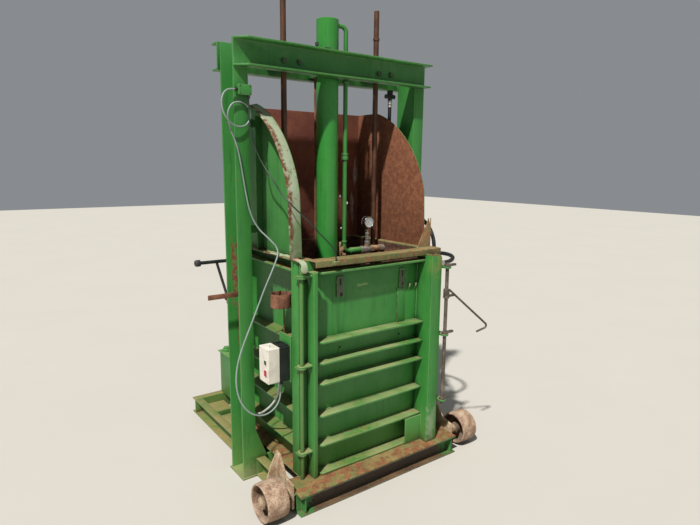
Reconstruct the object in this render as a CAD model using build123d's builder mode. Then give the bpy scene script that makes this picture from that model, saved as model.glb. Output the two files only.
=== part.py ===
from build123d import *
import math
import os

os.makedirs("parts", exist_ok=True)

# A hydraulic wool press: two channel posts carry twin crossbeams with a long cylinder between
# them, over a ribbed box with a hinged front door and an open-fronted hopper on top.
# Millimetres, +Z up, -Y is the front. The origin is on the floor, midway between the posts.

# Posts, two channels with their backs to the box
POST_BACK = 535.0
POST_FLANGE = 75.0
POST_WIDTH = 150.0
POST_WEB = 8.0
POST_FLANGE_T = 10.0
POST_TOP = 2235.0
FOOT_T = 8.0
FOOT_MARGIN = 8.0
GUSSET_RISE = 165.0
GUSSET_RUN = 62.0
GUSSET_T = 8.0

# Crossbeams, one channel on each face of the posts
BEAM_HEIGHT = 130.0
BEAM_FLANGE = 63.0
BEAM_WEB = 7.0
BEAM_FLANGE_T = 9.0
BEAM_END_CUT = 50.0

# Base frame
BASE_HEIGHT = 100.0
RAIL_WIDTH = 50.0
RAIL_WEB = 7.0
RAIL_FLANGE_T = 7.0
FRONT_END_INSET = (26.0, 32.0)
REAR_START = 830.0
BOLSTER_WIDTH = 120.0
BOLSTER_T = 8.0
PLATE_T = 6.0

# Rear deck
DECK_PLATE_START = 310.0
DECK_PLATE_END = 510.0
CROSS_BAR_START = 575.0
CROSS_BAR_WIDTH = 25.0
CROSS_BAR_HEIGHT = 40.0
TRAY_START = 690.0
TRAY_HEIGHT = 40.0

# Pressing chamber
BOX_HALF = 352.0
BOX_FRONT = 356.0
BOX_REAR = 290.0
WALL_T = 6.0
RIB_DEPTH = 74.0
RIB_T = 8.0
CORNER_T = 8.0
CORNER_LEG = 64.0
RIB_TOPS = (246.0, 428.0, 595.0, 800.0, 1155.0)
RIM_TOP = 1210.0
RIM_T = 6.0
RIM_DROP = 30.0
HEADER_HEIGHT = 44.0
CLIP_WIDTH = 32.0
CLIP_DEPTH = 16.0

# Hopper above the chamber
HOPPER_T = 4.0
HOPPER_TOP = 1965.0
HOPPER_CURVE_BACK = 106.0
HOPPER_CURVE_MID = (-168.0, 1800.0)
HOPPER_CURVE_END = (-322.0, 1519.0)
HOPPER_FOOT_FRONT = -338.0
EDGING_WIDTH = 62.0
EDGING_T = 5.0
STIFFENER_Y = 62.0
STIFFENER_DEPTH = 30.0
STIFFENER_T = 5.0
STIFFENER_TOP = 1900.0
STAY_LEVELS = (1300.0, 1840.0)
STAY_HEIGHT = 40.0
RUST_HOLES = ((263.0, 1464.0, 7.0), (314.0, 1419.0, 9.0), (272.0, 1261.0, 5.0))

# Cylinder, platen and guides
CYLINDER_X = -32.0
CYLINDER_R = 60.0
CYLINDER_WALL = 10.0
CYLINDER_TOP = 2410.0
CYLINDER_FOOT = 1110.0
CYLINDER_CAP = 12.0
GLAND_HEIGHT = 40.0
ROD_R = 25.0
PISTON_HEIGHT = 40.0
PISTON_REST = 1300.0
PLATEN_REST = 236.0
PLATEN_T = 10.0
PLATEN_RIB_HEIGHT = 90.0
PLATEN_GAP = 7.0
PLATEN_RIB_T = 10.0
GUIDE_R = 15.0
GUIDE_TOP = 2507.0
GUIDE_BOSS_R = 30.0
COLLAR_LEVEL = 2350.0
COLLAR_R = 19.0
COLLAR_HEIGHT = 12.0
BLOCK_HALF = 58.0
BLOCK_LOW = 2130.0
BLOCK_HEIGHT = 60.0
CLAMP_HALF = 75.0
BOLT_R = 8.0
BOLT_HEAD_R = 13.0
BOLT_HEAD_T = 8.0
BOLT_GRIP = 20.0
BOLT_SPREAD = 44.0
BOLT_LEVEL = 2158.0
RUN_CLEARANCE = 0.08

# Pipework
PIPE_R = 12.0
PIPE_WALL = 2.5
PIPE_X = 64.0
PIPE_Y = -34.0
PIPE_BEND_TOP = 2384.0
PIPE_BEND_R = 30.0
UNION_LEVEL = 1685.0
UNION_R = 16.0
UNION_HEIGHT = 36.0
MANIFOLD_Z = 1170.0
MANIFOLD_START = 104.0
TEE_X = 230.0
TEE_R = 17.0
TEE_LENGTH = 46.0
GAUGE_Z = 1330.0
GAUGE_R = 33.0
GAUGE_DEPTH = 34.0
GAUGE_WALL = 3.0
GAUGE_RECESS = 8.0
STEM_R = 7.0
POINTER_LENGTH = 22.0
RETURN_X = -71.0
RETURN_Y = 60.0
RETURN_R = 6.5
RETURN_FOOT = 1125.0
RETURN_NUT_HEIGHT = 20.0

# Front door
DOOR_GAP = 0.5
DOOR_PANEL_T = 5.0
DOOR_THICKNESS = 65.5
DOOR_TOP = 1155.0
DOOR_RIB_TOPS = (117.0, 270.0, 428.0, 595.0, 703.0, 810.0, 1155.0)
DOOR_RIB_T = 10.0
DOOR_STILE_T = 8.0
DOOR_STILE_LIP = 22.0
CLOSER_WIDTH = 74.0
CLOSER_TOP = 1190.0
CLOSER_T = 6.0
CLOSER_CORNER_R = 30.0
CORNER_PLATE = (115.0, 258.0)
SLOT_Z = 1085.0
SLOT_PLATE = (44.0, 106.0)
SLOT_PLATE_Z = 1060.0
SLOT_PLATE_T = 6.0
SLOT_WIDTH = 10.0
SLOT_HEIGHT = 34.0
COVER_STRIP_TOP = 1005.0
COVER_STRIP_T = 4.0
NIB_WIDTH = 9.0
NIB_HEIGHT = 38.0
NIB_DEPTH = 16.0
NIB_TOP = 1022.0

# Door hinge
HINGE_R = 10.0
HINGE_LEVELS = (246.0, 694.0, 1137.0)
HINGE_LEAF_T = 8.0
HINGE_BOSS_R = 24.0
HINGE_GUSSET = 50.0
HINGE_GUSSET_T = 6.0
HINGE_GUSSET_WIDTH = (18.0, 15.0)
STRAP_T = 8.0

# Door lock on the right
LOCK_R = 10.0
LOCK_LEVELS = (350.0, 736.0, 1118.0)
LOCK_BRACKET_T = 10.0
LOCK_BRACKET_R = 21.0
LOCK_CAM_T = 12.0
LOCK_BOSS_R = 19.0
LEVER_BOSS_LOW = 940.0
LEVER_BOSS_HEIGHT = 52.0
LEVER_R = 6.0
LEVER_BEND_R = 14.0

# Transport wheels
WHEEL_R = 94.0
WHEEL_CROWN = 4.0
WHEEL_WALL = 8.0
WHEEL_WIDTH = 110.0
WHEEL_Z = 96.0
WHEEL_DISC_T = 10.0
HUB_R = 30.0
HUB_MARGIN = 8.0
AXLE_R = 15.0
AXLE_PLATE_T = 12.0
AXLE_COLLAR_R = 24.0
WASHER_R = 27.0
WASHER_T = 4.0
AXLE_TAIL = 10.0
SPLIT_PIN_R = 3.0
FIN_T = 10.0

# Controls on the left side
CONTROL_Y = -231.5
CONTROL_WIDTH = 97.0
CONTROL_LOW = 592.0
CONTROL_HEIGHT = 180.0
CONTROL_BASE_DEPTH = 58.0
CONTROL_COVER_DEPTH = 62.0
COVER_WALL = 3.0
START_SIZE = (18.0, 18.0)
STOP_SIZE = (20.0, 28.0)
BUTTON_LENGTH = 14.0
BUTTON_PROUD = 6.0
START_Z = 700.0
STOP_Z = 645.0
BOX_KNOB_R = 6.0
GLAND_R = 8.0
GLAND_LENGTH = 22.0
JUNCTION_Z = (1975.0, 2024.0)
JUNCTION_DEPTH = 30.0
JUNCTION_GLAND_R = 6.0
CUP_Y = -200.0
CUP_R = 52.0
CUP_WALL = 5.0
CUP_LOW = 953.0
CUP_HEIGHT = 70.0
CUP_STEM_R = 4.0

# Hand lever behind the left post
HAND_PIVOT_Z = 960.0
HAND_R = 9.0
HAND_EYE_R = 16.0
HAND_EYE_WIDTH = 16.0
HAND_TOP_Z = 1156.0
GRIP_Z = 1160.0
KNOB_R = 17.0
PIVOT_R = 7.0
SIDE_BAR_HEIGHT = 25.0
SIDE_BAR_T = 8.0
SIDE_BAR_LOW = 985.0

# Power pack at the rear
TANK_X = (-335.0, 165.0)
TANK_Y = (590.0, 872.0)
TANK_HEIGHT = 295.0
TANK_WALL = 4.0
TANK_LIP = 10.0
MOTOR_X = (-250.0, 20.0)
MOTOR_Y = 731.0
MOTOR_R = 78.0
MOTOR_FEET = 20.0
MOTOR_FIN_COUNT = 20
MOTOR_FIN_DEPTH = 8.0
PUMP_R = 42.0
PUMP_LENGTH = 110.0
BELL_LENGTH = 50.0

# Control valve by the right front corner
VALVE_SIZE = 64.0
VALVE_LOW = 1062.0
VALVE_HEIGHT = 74.0
VALVE_PORT_OUT = 46.0
VALVE_STEM_DROP = 26.0
PORT_R = 15.0
PORT_LENGTH = 24.0

# Hoses and cables
REAR_HOSE_R = 11.0
VALVE_HOSE_R = 12.0
CONTROL_CABLE_R = 4.0
RIM_CABLE_R = 3.5
MOTOR_CABLE_R = 5.5

# Values worked out from the sizes above
POST_TIP = POST_BACK + POST_FLANGE
HALF_POST = POST_WIDTH / 2
BEAM_FRONT_RIGHT = POST_TIP - 5
BEAM_REAR_LEFT = POST_TIP + 13
BEAM_REAR_RIGHT = POST_TIP - 10
BEAM_LOW = POST_TOP - BEAM_HEIGHT
BEAM_FACE = HALF_POST + BEAM_WEB
BEAM_REACH = HALF_POST + BEAM_FLANGE
RAIL_INNER = POST_BACK - RAIL_WIDTH
FRONT_HALF = POST_BACK - 10
FLOOR_TOP = BASE_HEIGHT + PLATE_T
WALL_OUT = BOX_HALF + WALL_T
REAR_OUT = BOX_REAR + WALL_T
RIB_OUT = WALL_OUT + RIB_DEPTH
CORNER_OUT = RIB_OUT + CORNER_T
REAR_RIB_OUT = REAR_OUT + RIB_DEPTH - CORNER_T
REAR_CORNER_OUT = REAR_RIB_OUT + CORNER_T
CORNER_FRONT = BOX_FRONT + CORNER_T
RIM_UNDER = RIM_TOP - RIM_T
RIM_LEFT_START = 60 - CORNER_OUT
CLIP_X = 80 - BOX_HALF
HOPPER_HALF = CORNER_OUT - 40
EDGING_TOP = (HOPPER_CURVE_BACK - 30, HOPPER_TOP - 12)
EDGING_LOW = RIM_TOP + STRAP_T
DOOR_BACK = CORNER_FRONT + DOOR_GAP
DOOR_FACE = DOOR_BACK + DOOR_PANEL_T
DOOR_FRONT = DOOR_BACK + DOOR_THICKNESS
RIM_FRONT = DOOR_FRONT
CLOSER_FRONT = DOOR_FRONT + 55
FRONT_FACE = CLOSER_FRONT + 40
FRONT_BACK = FRONT_FACE - RAIL_WIDTH
DOOR_FOOT = FLOOR_TOP + 1
DOOR_LEFT = CORNER_OUT - 47
DOOR_RIGHT = CORNER_OUT - 43
DOOR_RIB_CHAMFER = 0.56 * (DOOR_FRONT - DOOR_FACE)
SLOT_X = (191 - DOOR_LEFT, DOOR_RIGHT - 187)
UPPER_PEEPS = ((197 - DOOR_LEFT, 1020, 9), (DOOR_RIGHT - 185, 1027, 7))
LOWER_PEEPS = ((194 - DOOR_LEFT, 743, 6), (DOOR_RIGHT - 197, 740, 6))
COVER_STRIP_X = (DOOR_RIGHT - 221, DOOR_RIGHT - 163)
NIB_X = (DOOR_RIGHT - 136, DOOR_RIGHT - 90)
HINGE_X = 1 - CORNER_OUT
HINGE_Y = -CORNER_FRONT - 29
LOCK_X = CORNER_OUT - 16
LOCK_Y = -CLOSER_FRONT - 15
LOCK_BRACKET_X = (LOCK_X - LOCK_BRACKET_R, LOCK_X + LOCK_BRACKET_R)
LOCK_CAM_REACH = LOCK_X + 63
LEVER_START = (LOCK_X + 23, 984)
LEVER_END = (LOCK_X + 371, 717)
LEVER_HOOK = (LOCK_X + 268, 702)
GUIDE_X = BOX_HALF - 52
MANIFOLD_END = CORNER_OUT + 2
CLAMP_LOW = BLOCK_LOW - 15
CLAMP_HEIGHT = BLOCK_HEIGHT + 40
PLATEN_TOP = PLATEN_REST + PLATEN_T + PLATEN_RIB_HEIGHT
TANK_TOP = BASE_HEIGHT + TANK_HEIGHT
MOTOR_Z = TANK_TOP + MOTOR_FEET + MOTOR_R
CONTROL_FACE = CORNER_OUT
CONTROL_BASE_FACE = CONTROL_FACE + CONTROL_BASE_DEPTH
CONTROL_COVER_FACE = CONTROL_BASE_FACE + CONTROL_COVER_DEPTH
WHEEL_INNER = POST_BACK + 55
WHEEL_OUTER = WHEEL_INNER + WHEEL_WIDTH
WHEEL_Y = 85 - FRONT_FACE
BUTTON_Y = CONTROL_Y - 20.5
JUNCTION_X = (-POST_BACK - 62, -POST_BACK + 4)
CUP_X = -CORNER_OUT - 2
HAND_Y = HALF_POST + 21
HAND_PIVOT = (13 - POST_TIP, HAND_PIVOT_Z)
HAND_TOP = (-POST_TIP - 42, HAND_TOP_Z)
GRIP_LEFT = -POST_TIP - 130
GRIP_RIGHT = 18 - POST_TIP
SIDE_BAR_REACH = POST_TIP + 132
VALVE_Y = (-CORNER_FRONT, -CORNER_FRONT + VALVE_SIZE)
VALVE_TOP = VALVE_LOW + VALVE_HEIGHT


def save(piece, name):
    """Label a finished piece and write it to its own file."""
    piece.part.label = name
    export_step(piece.part, f"parts/{name}.step")


def block(x, y, z, mode=Mode.ADD):
    """Add a rectangular block that fills the given X, Y and Z spans."""
    with Locations(((x[0] + x[1]) / 2, (y[0] + y[1]) / 2, (z[0] + z[1]) / 2)):
        Box(abs(x[1] - x[0]), abs(y[1] - y[0]), abs(z[1] - z[0]), mode=mode)


def round_bar(radius, base, length, direction=(0, 0, 1), mode=Mode.ADD):
    """Add a cylinder that starts at base and runs along direction."""
    with Locations(Plane(base, z_dir=direction)):
        Cylinder(radius, length, align=(Align.CENTER, Align.CENTER, Align.MIN), mode=mode)


def hexagon_bar(radius, base, length, direction=(0, 0, 1)):
    """Add a hexagonal bar or nut that starts at base and runs along direction."""
    with BuildSketch(Plane(base, z_dir=direction)) as outline:
        RegularPolygon(radius, 6)
    extrude(outline.sketch, amount=length)


def corner_radii(points):
    """Give each corner of a cord's route the arc that its two runs allow."""
    route = [Vector(*point) for point in points]
    radii = []
    for before, corner, after in zip(route, route[1:], route[2:]):
        turn = math.radians((corner - before).get_angle(after - corner))
        run = min((corner - before).length, (after - corner).length)
        radii.append(0.45 * run / math.tan(turn / 2))
    return radii


def cord(name, points, radius):
    """Make a cord's plain tube, straight runs joined by tangent arcs, and report its bends."""
    radii = corner_radii(points)
    with BuildPart() as tube:
        with BuildLine() as route:
            FilletPolyline(*points, radius=radii)
        with BuildSketch(Plane(route.line @ 0, z_dir=route.line % 0)):
            Circle(radius)
        sweep(path=route.line)
    length = sum(edge.length for edge in route.edges())
    filled = tube.part.volume / (math.pi * radius ** 2 * length)
    bends = ", ".join(f"{bend:.0f}" for bend in radii)
    print(f"{name}: length {length:.0f}, radius {radius}, volume ratio {filled:.4f}, bends {bends}")
    save(tube, name)


# Posts: channel, foot plate and two foot gussets welded to the web
for side, name in ((-1, "post_left"), (1, "post_right")):
    with BuildPart() as post:
        with BuildSketch(Plane.XY.offset(FOOT_T)):
            with Locations((side * (POST_BACK + POST_FLANGE / 2), 0)):
                Rectangle(POST_FLANGE, POST_WIDTH)
            with Locations((side * (POST_BACK + POST_WEB + POST_FLANGE / 2), 0)):
                Rectangle(POST_FLANGE, POST_WIDTH - 2 * POST_FLANGE_T, mode=Mode.SUBTRACT)
        extrude(amount=POST_TOP - FOOT_T)
        block(
            (side * POST_BACK, side * (POST_TIP + FOOT_MARGIN)),
            (-HALF_POST - FOOT_MARGIN, HALF_POST + FOOT_MARGIN),
            (0, FOOT_T),
        )
        for edge in (-HALF_POST, HALF_POST - GUSSET_T):
            with BuildSketch(Plane.XZ.offset(-edge)):
                with BuildLine():
                    Polyline(
                        (side * POST_BACK, BASE_HEIGHT),
                        (side * (POST_BACK - GUSSET_RUN), BASE_HEIGHT),
                        (side * (POST_BACK - GUSSET_RUN), BASE_HEIGHT + GUSSET_T),
                        (side * POST_BACK, BASE_HEIGHT + GUSSET_RISE),
                        close=True,
                    )
                make_face()
            extrude(amount=-GUSSET_T)
    save(post, name)

# Crossbeams: the front one has its left flange ends cut away
with BuildPart() as crossbeam_front:
    for low, right in ((BEAM_LOW, BEAM_FRONT_RIGHT), (POST_TOP - BEAM_FLANGE_T, BEAM_FRONT_RIGHT + 10)):
        with BuildSketch(Plane.XY.offset(low)):
            with BuildLine():
                Polyline(
                    (-POST_TIP, -HALF_POST),
                    (right, -HALF_POST),
                    (right, -BEAM_REACH),
                    (-POST_TIP + BEAM_END_CUT, -BEAM_REACH),
                    (-POST_TIP, -BEAM_FACE),
                    close=True,
                )
            make_face()
        extrude(amount=BEAM_FLANGE_T)
    block((-POST_TIP, BEAM_FRONT_RIGHT), (-BEAM_FACE, -HALF_POST), (BEAM_LOW, POST_TOP))
    for guide in (-GUIDE_X, GUIDE_X):
        for spread in (-BOLT_SPREAD, BOLT_SPREAD):
            round_bar(
                BOLT_R + RUN_CLEARANCE, (guide + spread, -BEAM_FACE, BOLT_LEVEL), BEAM_WEB,
                direction=(0, 1, 0), mode=Mode.SUBTRACT,
            )
save(crossbeam_front, "crossbeam_front")

with BuildPart() as crossbeam_rear:
    block((-BEAM_REAR_LEFT, BEAM_REAR_RIGHT), (HALF_POST, BEAM_FACE), (BEAM_LOW, POST_TOP))
    for low in (BEAM_LOW, POST_TOP - BEAM_FLANGE_T):
        block((-BEAM_REAR_LEFT, BEAM_REAR_RIGHT), (HALF_POST, BEAM_REACH), (low, low + BEAM_FLANGE_T))
    for guide in (-GUIDE_X, GUIDE_X):
        for spread in (-BOLT_SPREAD, BOLT_SPREAD):
            round_bar(
                BOLT_R + RUN_CLEARANCE, (guide + spread, HALF_POST, BOLT_LEVEL), BEAM_WEB,
                direction=(0, 1, 0), mode=Mode.SUBTRACT,
            )
save(crossbeam_rear, "crossbeam_rear")

# Base: a trough-shaped bolster under the box, side rails and the front channel
with BuildPart() as foot_bolster:
    block((-RAIL_INNER, RAIL_INNER), (-BOLSTER_WIDTH / 2, BOLSTER_WIDTH / 2), (0, BASE_HEIGHT))
    block(
        (-RAIL_INNER, RAIL_INNER),
        (-BOLSTER_WIDTH / 2 + BOLSTER_T, BOLSTER_WIDTH / 2 - BOLSTER_T),
        (BOLSTER_T, BASE_HEIGHT),
        mode=Mode.SUBTRACT,
    )
save(foot_bolster, "foot_bolster")

with BuildPart() as base_front_channel:
    block((-FRONT_HALF, FRONT_HALF), (-FRONT_FACE, -FRONT_BACK), (0, BASE_HEIGHT))
    block(
        (-FRONT_HALF, FRONT_HALF),
        (-FRONT_FACE, -FRONT_BACK - RAIL_WEB),
        (RAIL_FLANGE_T, BASE_HEIGHT - RAIL_FLANGE_T),
        mode=Mode.SUBTRACT,
    )
    for end in (FRONT_END_INSET[0] - FRONT_HALF, FRONT_HALF - FRONT_END_INSET[1]):
        block(
            (end, end + RAIL_WEB),
            (-FRONT_FACE + 6, -FRONT_BACK - RAIL_WEB),
            (RAIL_FLANGE_T, BASE_HEIGHT - RAIL_FLANGE_T),
        )
save(base_front_channel, "base_front_channel")

with BuildPart() as base_side_rails:
    for side in (-1, 1):
        block((side * RAIL_INNER, side * POST_BACK), (-FRONT_BACK, REAR_START), (0, BASE_HEIGHT))
        block(
            (side * (RAIL_INNER + RAIL_WEB), side * POST_BACK),
            (-FRONT_BACK, REAR_START),
            (RAIL_FLANGE_T, BASE_HEIGHT - RAIL_FLANGE_T),
            mode=Mode.SUBTRACT,
        )
        for edge in (-HALF_POST, HALF_POST - GUSSET_T):
            block(
                (side * (RAIL_INNER + RAIL_WEB), side * POST_BACK),
                (edge, edge + GUSSET_T),
                (RAIL_FLANGE_T, BASE_HEIGHT - RAIL_FLANGE_T),
            )
save(base_side_rails, "base_side_rails")

with BuildPart() as rear_deck:
    block((-POST_BACK, POST_BACK), (REAR_START, REAR_START + RAIL_WEB), (0, BASE_HEIGHT))
    for low in (0, BASE_HEIGHT - RAIL_FLANGE_T):
        block((-POST_BACK, POST_BACK), (REAR_START, REAR_START + RAIL_WIDTH), (low, low + RAIL_FLANGE_T))
    block(
        (-RAIL_INNER, RAIL_INNER), (DECK_PLATE_START, DECK_PLATE_END),
        (BASE_HEIGHT - PLATE_T, BASE_HEIGHT),
    )
    block(
        (-RAIL_INNER, RAIL_INNER),
        (CROSS_BAR_START, CROSS_BAR_START + CROSS_BAR_WIDTH),
        (BASE_HEIGHT - CROSS_BAR_HEIGHT, BASE_HEIGHT),
    )
    block((-RAIL_INNER, TANK_X[0]), (TRAY_START, REAR_START), (TRAY_HEIGHT, TRAY_HEIGHT + PLATE_T))
save(rear_deck, "rear_deck")

# Chamber floor and front sill in one plate
with BuildPart() as floor_plate:
    with BuildSketch(Plane.XY.offset(BASE_HEIGHT)):
        with BuildLine():
            Polyline(
                (-FRONT_HALF, -FRONT_FACE),
                (FRONT_HALF, -FRONT_FACE),
                (FRONT_HALF, -BOX_FRONT),
                (CORNER_OUT, -BOX_FRONT),
                (CORNER_OUT, REAR_CORNER_OUT),
                (-CORNER_OUT, REAR_CORNER_OUT),
                (-CORNER_OUT, -BOX_FRONT),
                (-FRONT_HALF, -BOX_FRONT),
                close=True,
            )
        make_face()
    extrude(amount=PLATE_T)
save(floor_plate, "floor_plate")

# Box sides: a wall with flat ribs; the right one has a hole for the pressure pipe
for side, name in ((-1, "box_side_left"), (1, "box_side_right")):
    with BuildPart() as box_side:
        block((side * BOX_HALF, side * WALL_OUT), (-BOX_FRONT, REAR_OUT), (FLOOR_TOP, RIM_UNDER))
        for top in RIB_TOPS:
            block((side * WALL_OUT, side * RIB_OUT), (-BOX_FRONT, REAR_RIB_OUT), (top - RIB_T, top))
        if side > 0:
            round_bar(
                PIPE_R + 1, (BOX_HALF - 1, PIPE_Y, MANIFOLD_Z), WALL_T + 2,
                direction=(1, 0, 0), mode=Mode.SUBTRACT,
            )
        if side < 0:
            block(
                (-CORNER_OUT, -RIB_OUT),
                (CONTROL_Y - CONTROL_WIDTH / 2 - 8, CONTROL_Y + CONTROL_WIDTH / 2 + 8),
                (CONTROL_LOW - 12, RIB_TOPS[3] + 20),
            )
    save(box_side, name)

with BuildPart() as box_rear:
    block((-BOX_HALF, BOX_HALF), (BOX_REAR, REAR_OUT), (FLOOR_TOP, RIM_UNDER))
    for top in RIB_TOPS:
        block((-WALL_OUT, WALL_OUT), (REAR_OUT, REAR_RIB_OUT), (top - RIB_T, top))
save(box_rear, "box_rear")

# Corner posts: four angles that hold the walls and ribs together
with BuildPart() as corner_posts:
    with BuildSketch(Plane.XY.offset(FLOOR_TOP)):
        for side in (-1, 1):
            with Locations((side * (BOX_HALF + CORNER_OUT) / 2, -(BOX_FRONT + CORNER_FRONT) / 2)):
                Rectangle(CORNER_OUT - BOX_HALF, CORNER_T)
            with Locations((side * (RIB_OUT + CORNER_OUT) / 2, -CORNER_FRONT + CORNER_LEG / 2)):
                Rectangle(CORNER_T, CORNER_LEG)
            with Locations((side * (WALL_OUT + CORNER_OUT) / 2, (REAR_RIB_OUT + REAR_CORNER_OUT) / 2)):
                Rectangle(CORNER_OUT - WALL_OUT, CORNER_T)
            with Locations((side * (RIB_OUT + CORNER_OUT) / 2, REAR_CORNER_OUT - CORNER_LEG / 2)):
                Rectangle(CORNER_T, CORNER_LEG)
    extrude(amount=RIM_UNDER - FLOOR_TOP)
save(corner_posts, "corner_posts")

# Rim: a flat frame with turned-down edges, a header over the door and a torn corner gusset
with BuildPart() as rim_frame:
    with BuildSketch(Plane.XY.offset(RIM_UNDER)):
        with BuildLine():
            Polyline(
                (RIM_LEFT_START, -RIM_FRONT),
                (CORNER_OUT, -RIM_FRONT),
                (CORNER_OUT, REAR_CORNER_OUT),
                (-CORNER_OUT, REAR_CORNER_OUT),
                (-CORNER_OUT, -CORNER_FRONT),
                (RIM_LEFT_START, -CORNER_FRONT),
                close=True,
            )
        make_face()
        with Locations((0, (BOX_REAR - BOX_FRONT) / 2)):
            Rectangle(2 * BOX_HALF, BOX_REAR + BOX_FRONT, mode=Mode.SUBTRACT)
    extrude(amount=RIM_T)
    block((RIM_LEFT_START, CORNER_OUT), (-RIM_FRONT, -RIM_FRONT + RIM_T), (RIM_TOP - RIM_DROP, RIM_UNDER))
    block((-BOX_HALF, BOX_HALF), (-BOX_FRONT - WALL_T, -BOX_FRONT), (RIM_UNDER - HEADER_HEIGHT, RIM_UNDER))
    with BuildSketch(Plane.XZ.offset(BOX_FRONT + 4)):
        with BuildLine():
            Polyline(
                (CORNER_OUT - 115, RIM_TOP), (CORNER_OUT - 15, RIM_TOP),
                (CORNER_OUT - 15, RIM_TOP + 162), (CORNER_OUT - 22, RIM_TOP + 120),
                (CORNER_OUT - 32, RIM_TOP + 162), (CORNER_OUT - 44, RIM_TOP + 132),
                close=True,
            )
        make_face()
    extrude(amount=-RIM_T)
    block(
        (CLIP_X - CLIP_WIDTH / 2, CLIP_X + CLIP_WIDTH / 2), (-RIM_FRONT - CLIP_DEPTH, -RIM_FRONT),
        (RIM_TOP - RIM_T - CLIP_DEPTH, RIM_TOP - RIM_T),
    )
save(rim_frame, "rim_frame")

# Hopper sides, with an outside stiffener and two stays to the post
for side, name in ((-1, "hopper_side_left"), (1, "hopper_side_right")):
    with BuildPart() as hopper_side:
        with BuildSketch(Plane.YZ.offset(side * HOPPER_HALF if side > 0 else -HOPPER_HALF - HOPPER_T)):
            with BuildLine():
                Polyline(
                    HOPPER_CURVE_END,
                    (HOPPER_FOOT_FRONT, RIM_TOP),
                    (BOX_REAR + HOPPER_T, RIM_TOP),
                    (BOX_REAR + HOPPER_T, HOPPER_TOP),
                    (HOPPER_CURVE_BACK, HOPPER_TOP),
                )
                ThreePointArc((HOPPER_CURVE_BACK, HOPPER_TOP), HOPPER_CURVE_MID, HOPPER_CURVE_END)
            make_face()
        extrude(amount=HOPPER_T)
        outer = HOPPER_HALF + HOPPER_T
        block(
            (side * outer, side * (outer + STIFFENER_DEPTH)),
            (STIFFENER_Y, STIFFENER_Y + STIFFENER_T),
            (RIM_TOP, STIFFENER_TOP),
        )
        for level in STAY_LEVELS:
            block(
                (side * outer, side * POST_BACK),
                (STIFFENER_Y, STIFFENER_Y + STIFFENER_T),
                (level, level + STAY_HEIGHT),
            )
    save(hopper_side, name)

with BuildPart() as hopper_back:
    block((-HOPPER_HALF, HOPPER_HALF), (BOX_REAR, BOX_REAR + HOPPER_T), (RIM_TOP, HOPPER_TOP))
    for x, z, radius in RUST_HOLES:
        round_bar(radius, (x, BOX_REAR - 1, z), HOPPER_T + 2, direction=(0, 1, 0), mode=Mode.SUBTRACT)
save(hopper_back, "hopper_back")

# Hopper edging: a flat bar that follows the left side's curved front edge, turned outwards
INSET = EDGING_T / math.sqrt(2)
with BuildPart() as hopper_edging:
    with BuildSketch(Plane.YZ.offset(-HOPPER_HALF - HOPPER_T - EDGING_WIDTH)):
        with BuildLine():
            ThreePointArc(EDGING_TOP, HOPPER_CURVE_MID, HOPPER_CURVE_END)
            Line(HOPPER_CURVE_END, (HOPPER_FOOT_FRONT, EDGING_LOW))
            Line((HOPPER_FOOT_FRONT, EDGING_LOW), (HOPPER_FOOT_FRONT + EDGING_T, EDGING_LOW))
            Line(
                (HOPPER_FOOT_FRONT + EDGING_T, EDGING_LOW),
                (HOPPER_CURVE_END[0] + EDGING_T, HOPPER_CURVE_END[1]),
            )
            ThreePointArc(
                (HOPPER_CURVE_END[0] + EDGING_T, HOPPER_CURVE_END[1]),
                (HOPPER_CURVE_MID[0] + INSET, HOPPER_CURVE_MID[1] - INSET),
                (EDGING_TOP[0], EDGING_TOP[1] - EDGING_T),
            )
            Line((EDGING_TOP[0], EDGING_TOP[1] - EDGING_T), EDGING_TOP)
        make_face()
    extrude(amount=EDGING_WIDTH)
save(hopper_edging, "hopper_edging")

# Cylinder barrel: a closed tube with a rod gland at its foot
with BuildPart() as cylinder_barrel:
    round_bar(CYLINDER_R, (CYLINDER_X, 0, CYLINDER_FOOT), CYLINDER_TOP - CYLINDER_FOOT)
    chamfer(cylinder_barrel.faces().sort_by(Axis.Z)[-1].edges(), 2)
    round_bar(
        CYLINDER_R - CYLINDER_WALL, (CYLINDER_X, 0, CYLINDER_FOOT + GLAND_HEIGHT),
        CYLINDER_TOP - CYLINDER_CAP - CYLINDER_FOOT - GLAND_HEIGHT, mode=Mode.SUBTRACT,
    )
    round_bar(
        ROD_R + RUN_CLEARANCE, (CYLINDER_X, 0, CYLINDER_FOOT), GLAND_HEIGHT, mode=Mode.SUBTRACT,
    )
save(cylinder_barrel, "cylinder_barrel")

# Blocks between the crossbeams: one guides each rod and one clamps the barrel
with BuildPart() as guide_blocks:
    for guide in (-GUIDE_X, GUIDE_X):
        block(
            (guide - BLOCK_HALF, guide + BLOCK_HALF), (-HALF_POST, HALF_POST),
            (BLOCK_LOW, BLOCK_LOW + BLOCK_HEIGHT),
        )
        round_bar(GUIDE_R + RUN_CLEARANCE, (guide, 0, BLOCK_LOW), BLOCK_HEIGHT, mode=Mode.SUBTRACT)
        for spread in (-BOLT_SPREAD, BOLT_SPREAD):
            for face, direction in ((-HALF_POST, 1), (HALF_POST, -1)):
                round_bar(
                    BOLT_R + RUN_CLEARANCE, (guide + spread, face, BOLT_LEVEL), BOLT_GRIP + 1,
                    direction=(0, direction, 0), mode=Mode.SUBTRACT,
                )
    block(
        (CYLINDER_X - CLAMP_HALF, CYLINDER_X + CLAMP_HALF), (-HALF_POST, HALF_POST),
        (CLAMP_LOW, CLAMP_LOW + CLAMP_HEIGHT),
    )
    round_bar(CYLINDER_R + RUN_CLEARANCE, (CYLINDER_X, 0, CLAMP_LOW), CLAMP_HEIGHT, mode=Mode.SUBTRACT)
save(guide_blocks, "guide_blocks")

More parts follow.
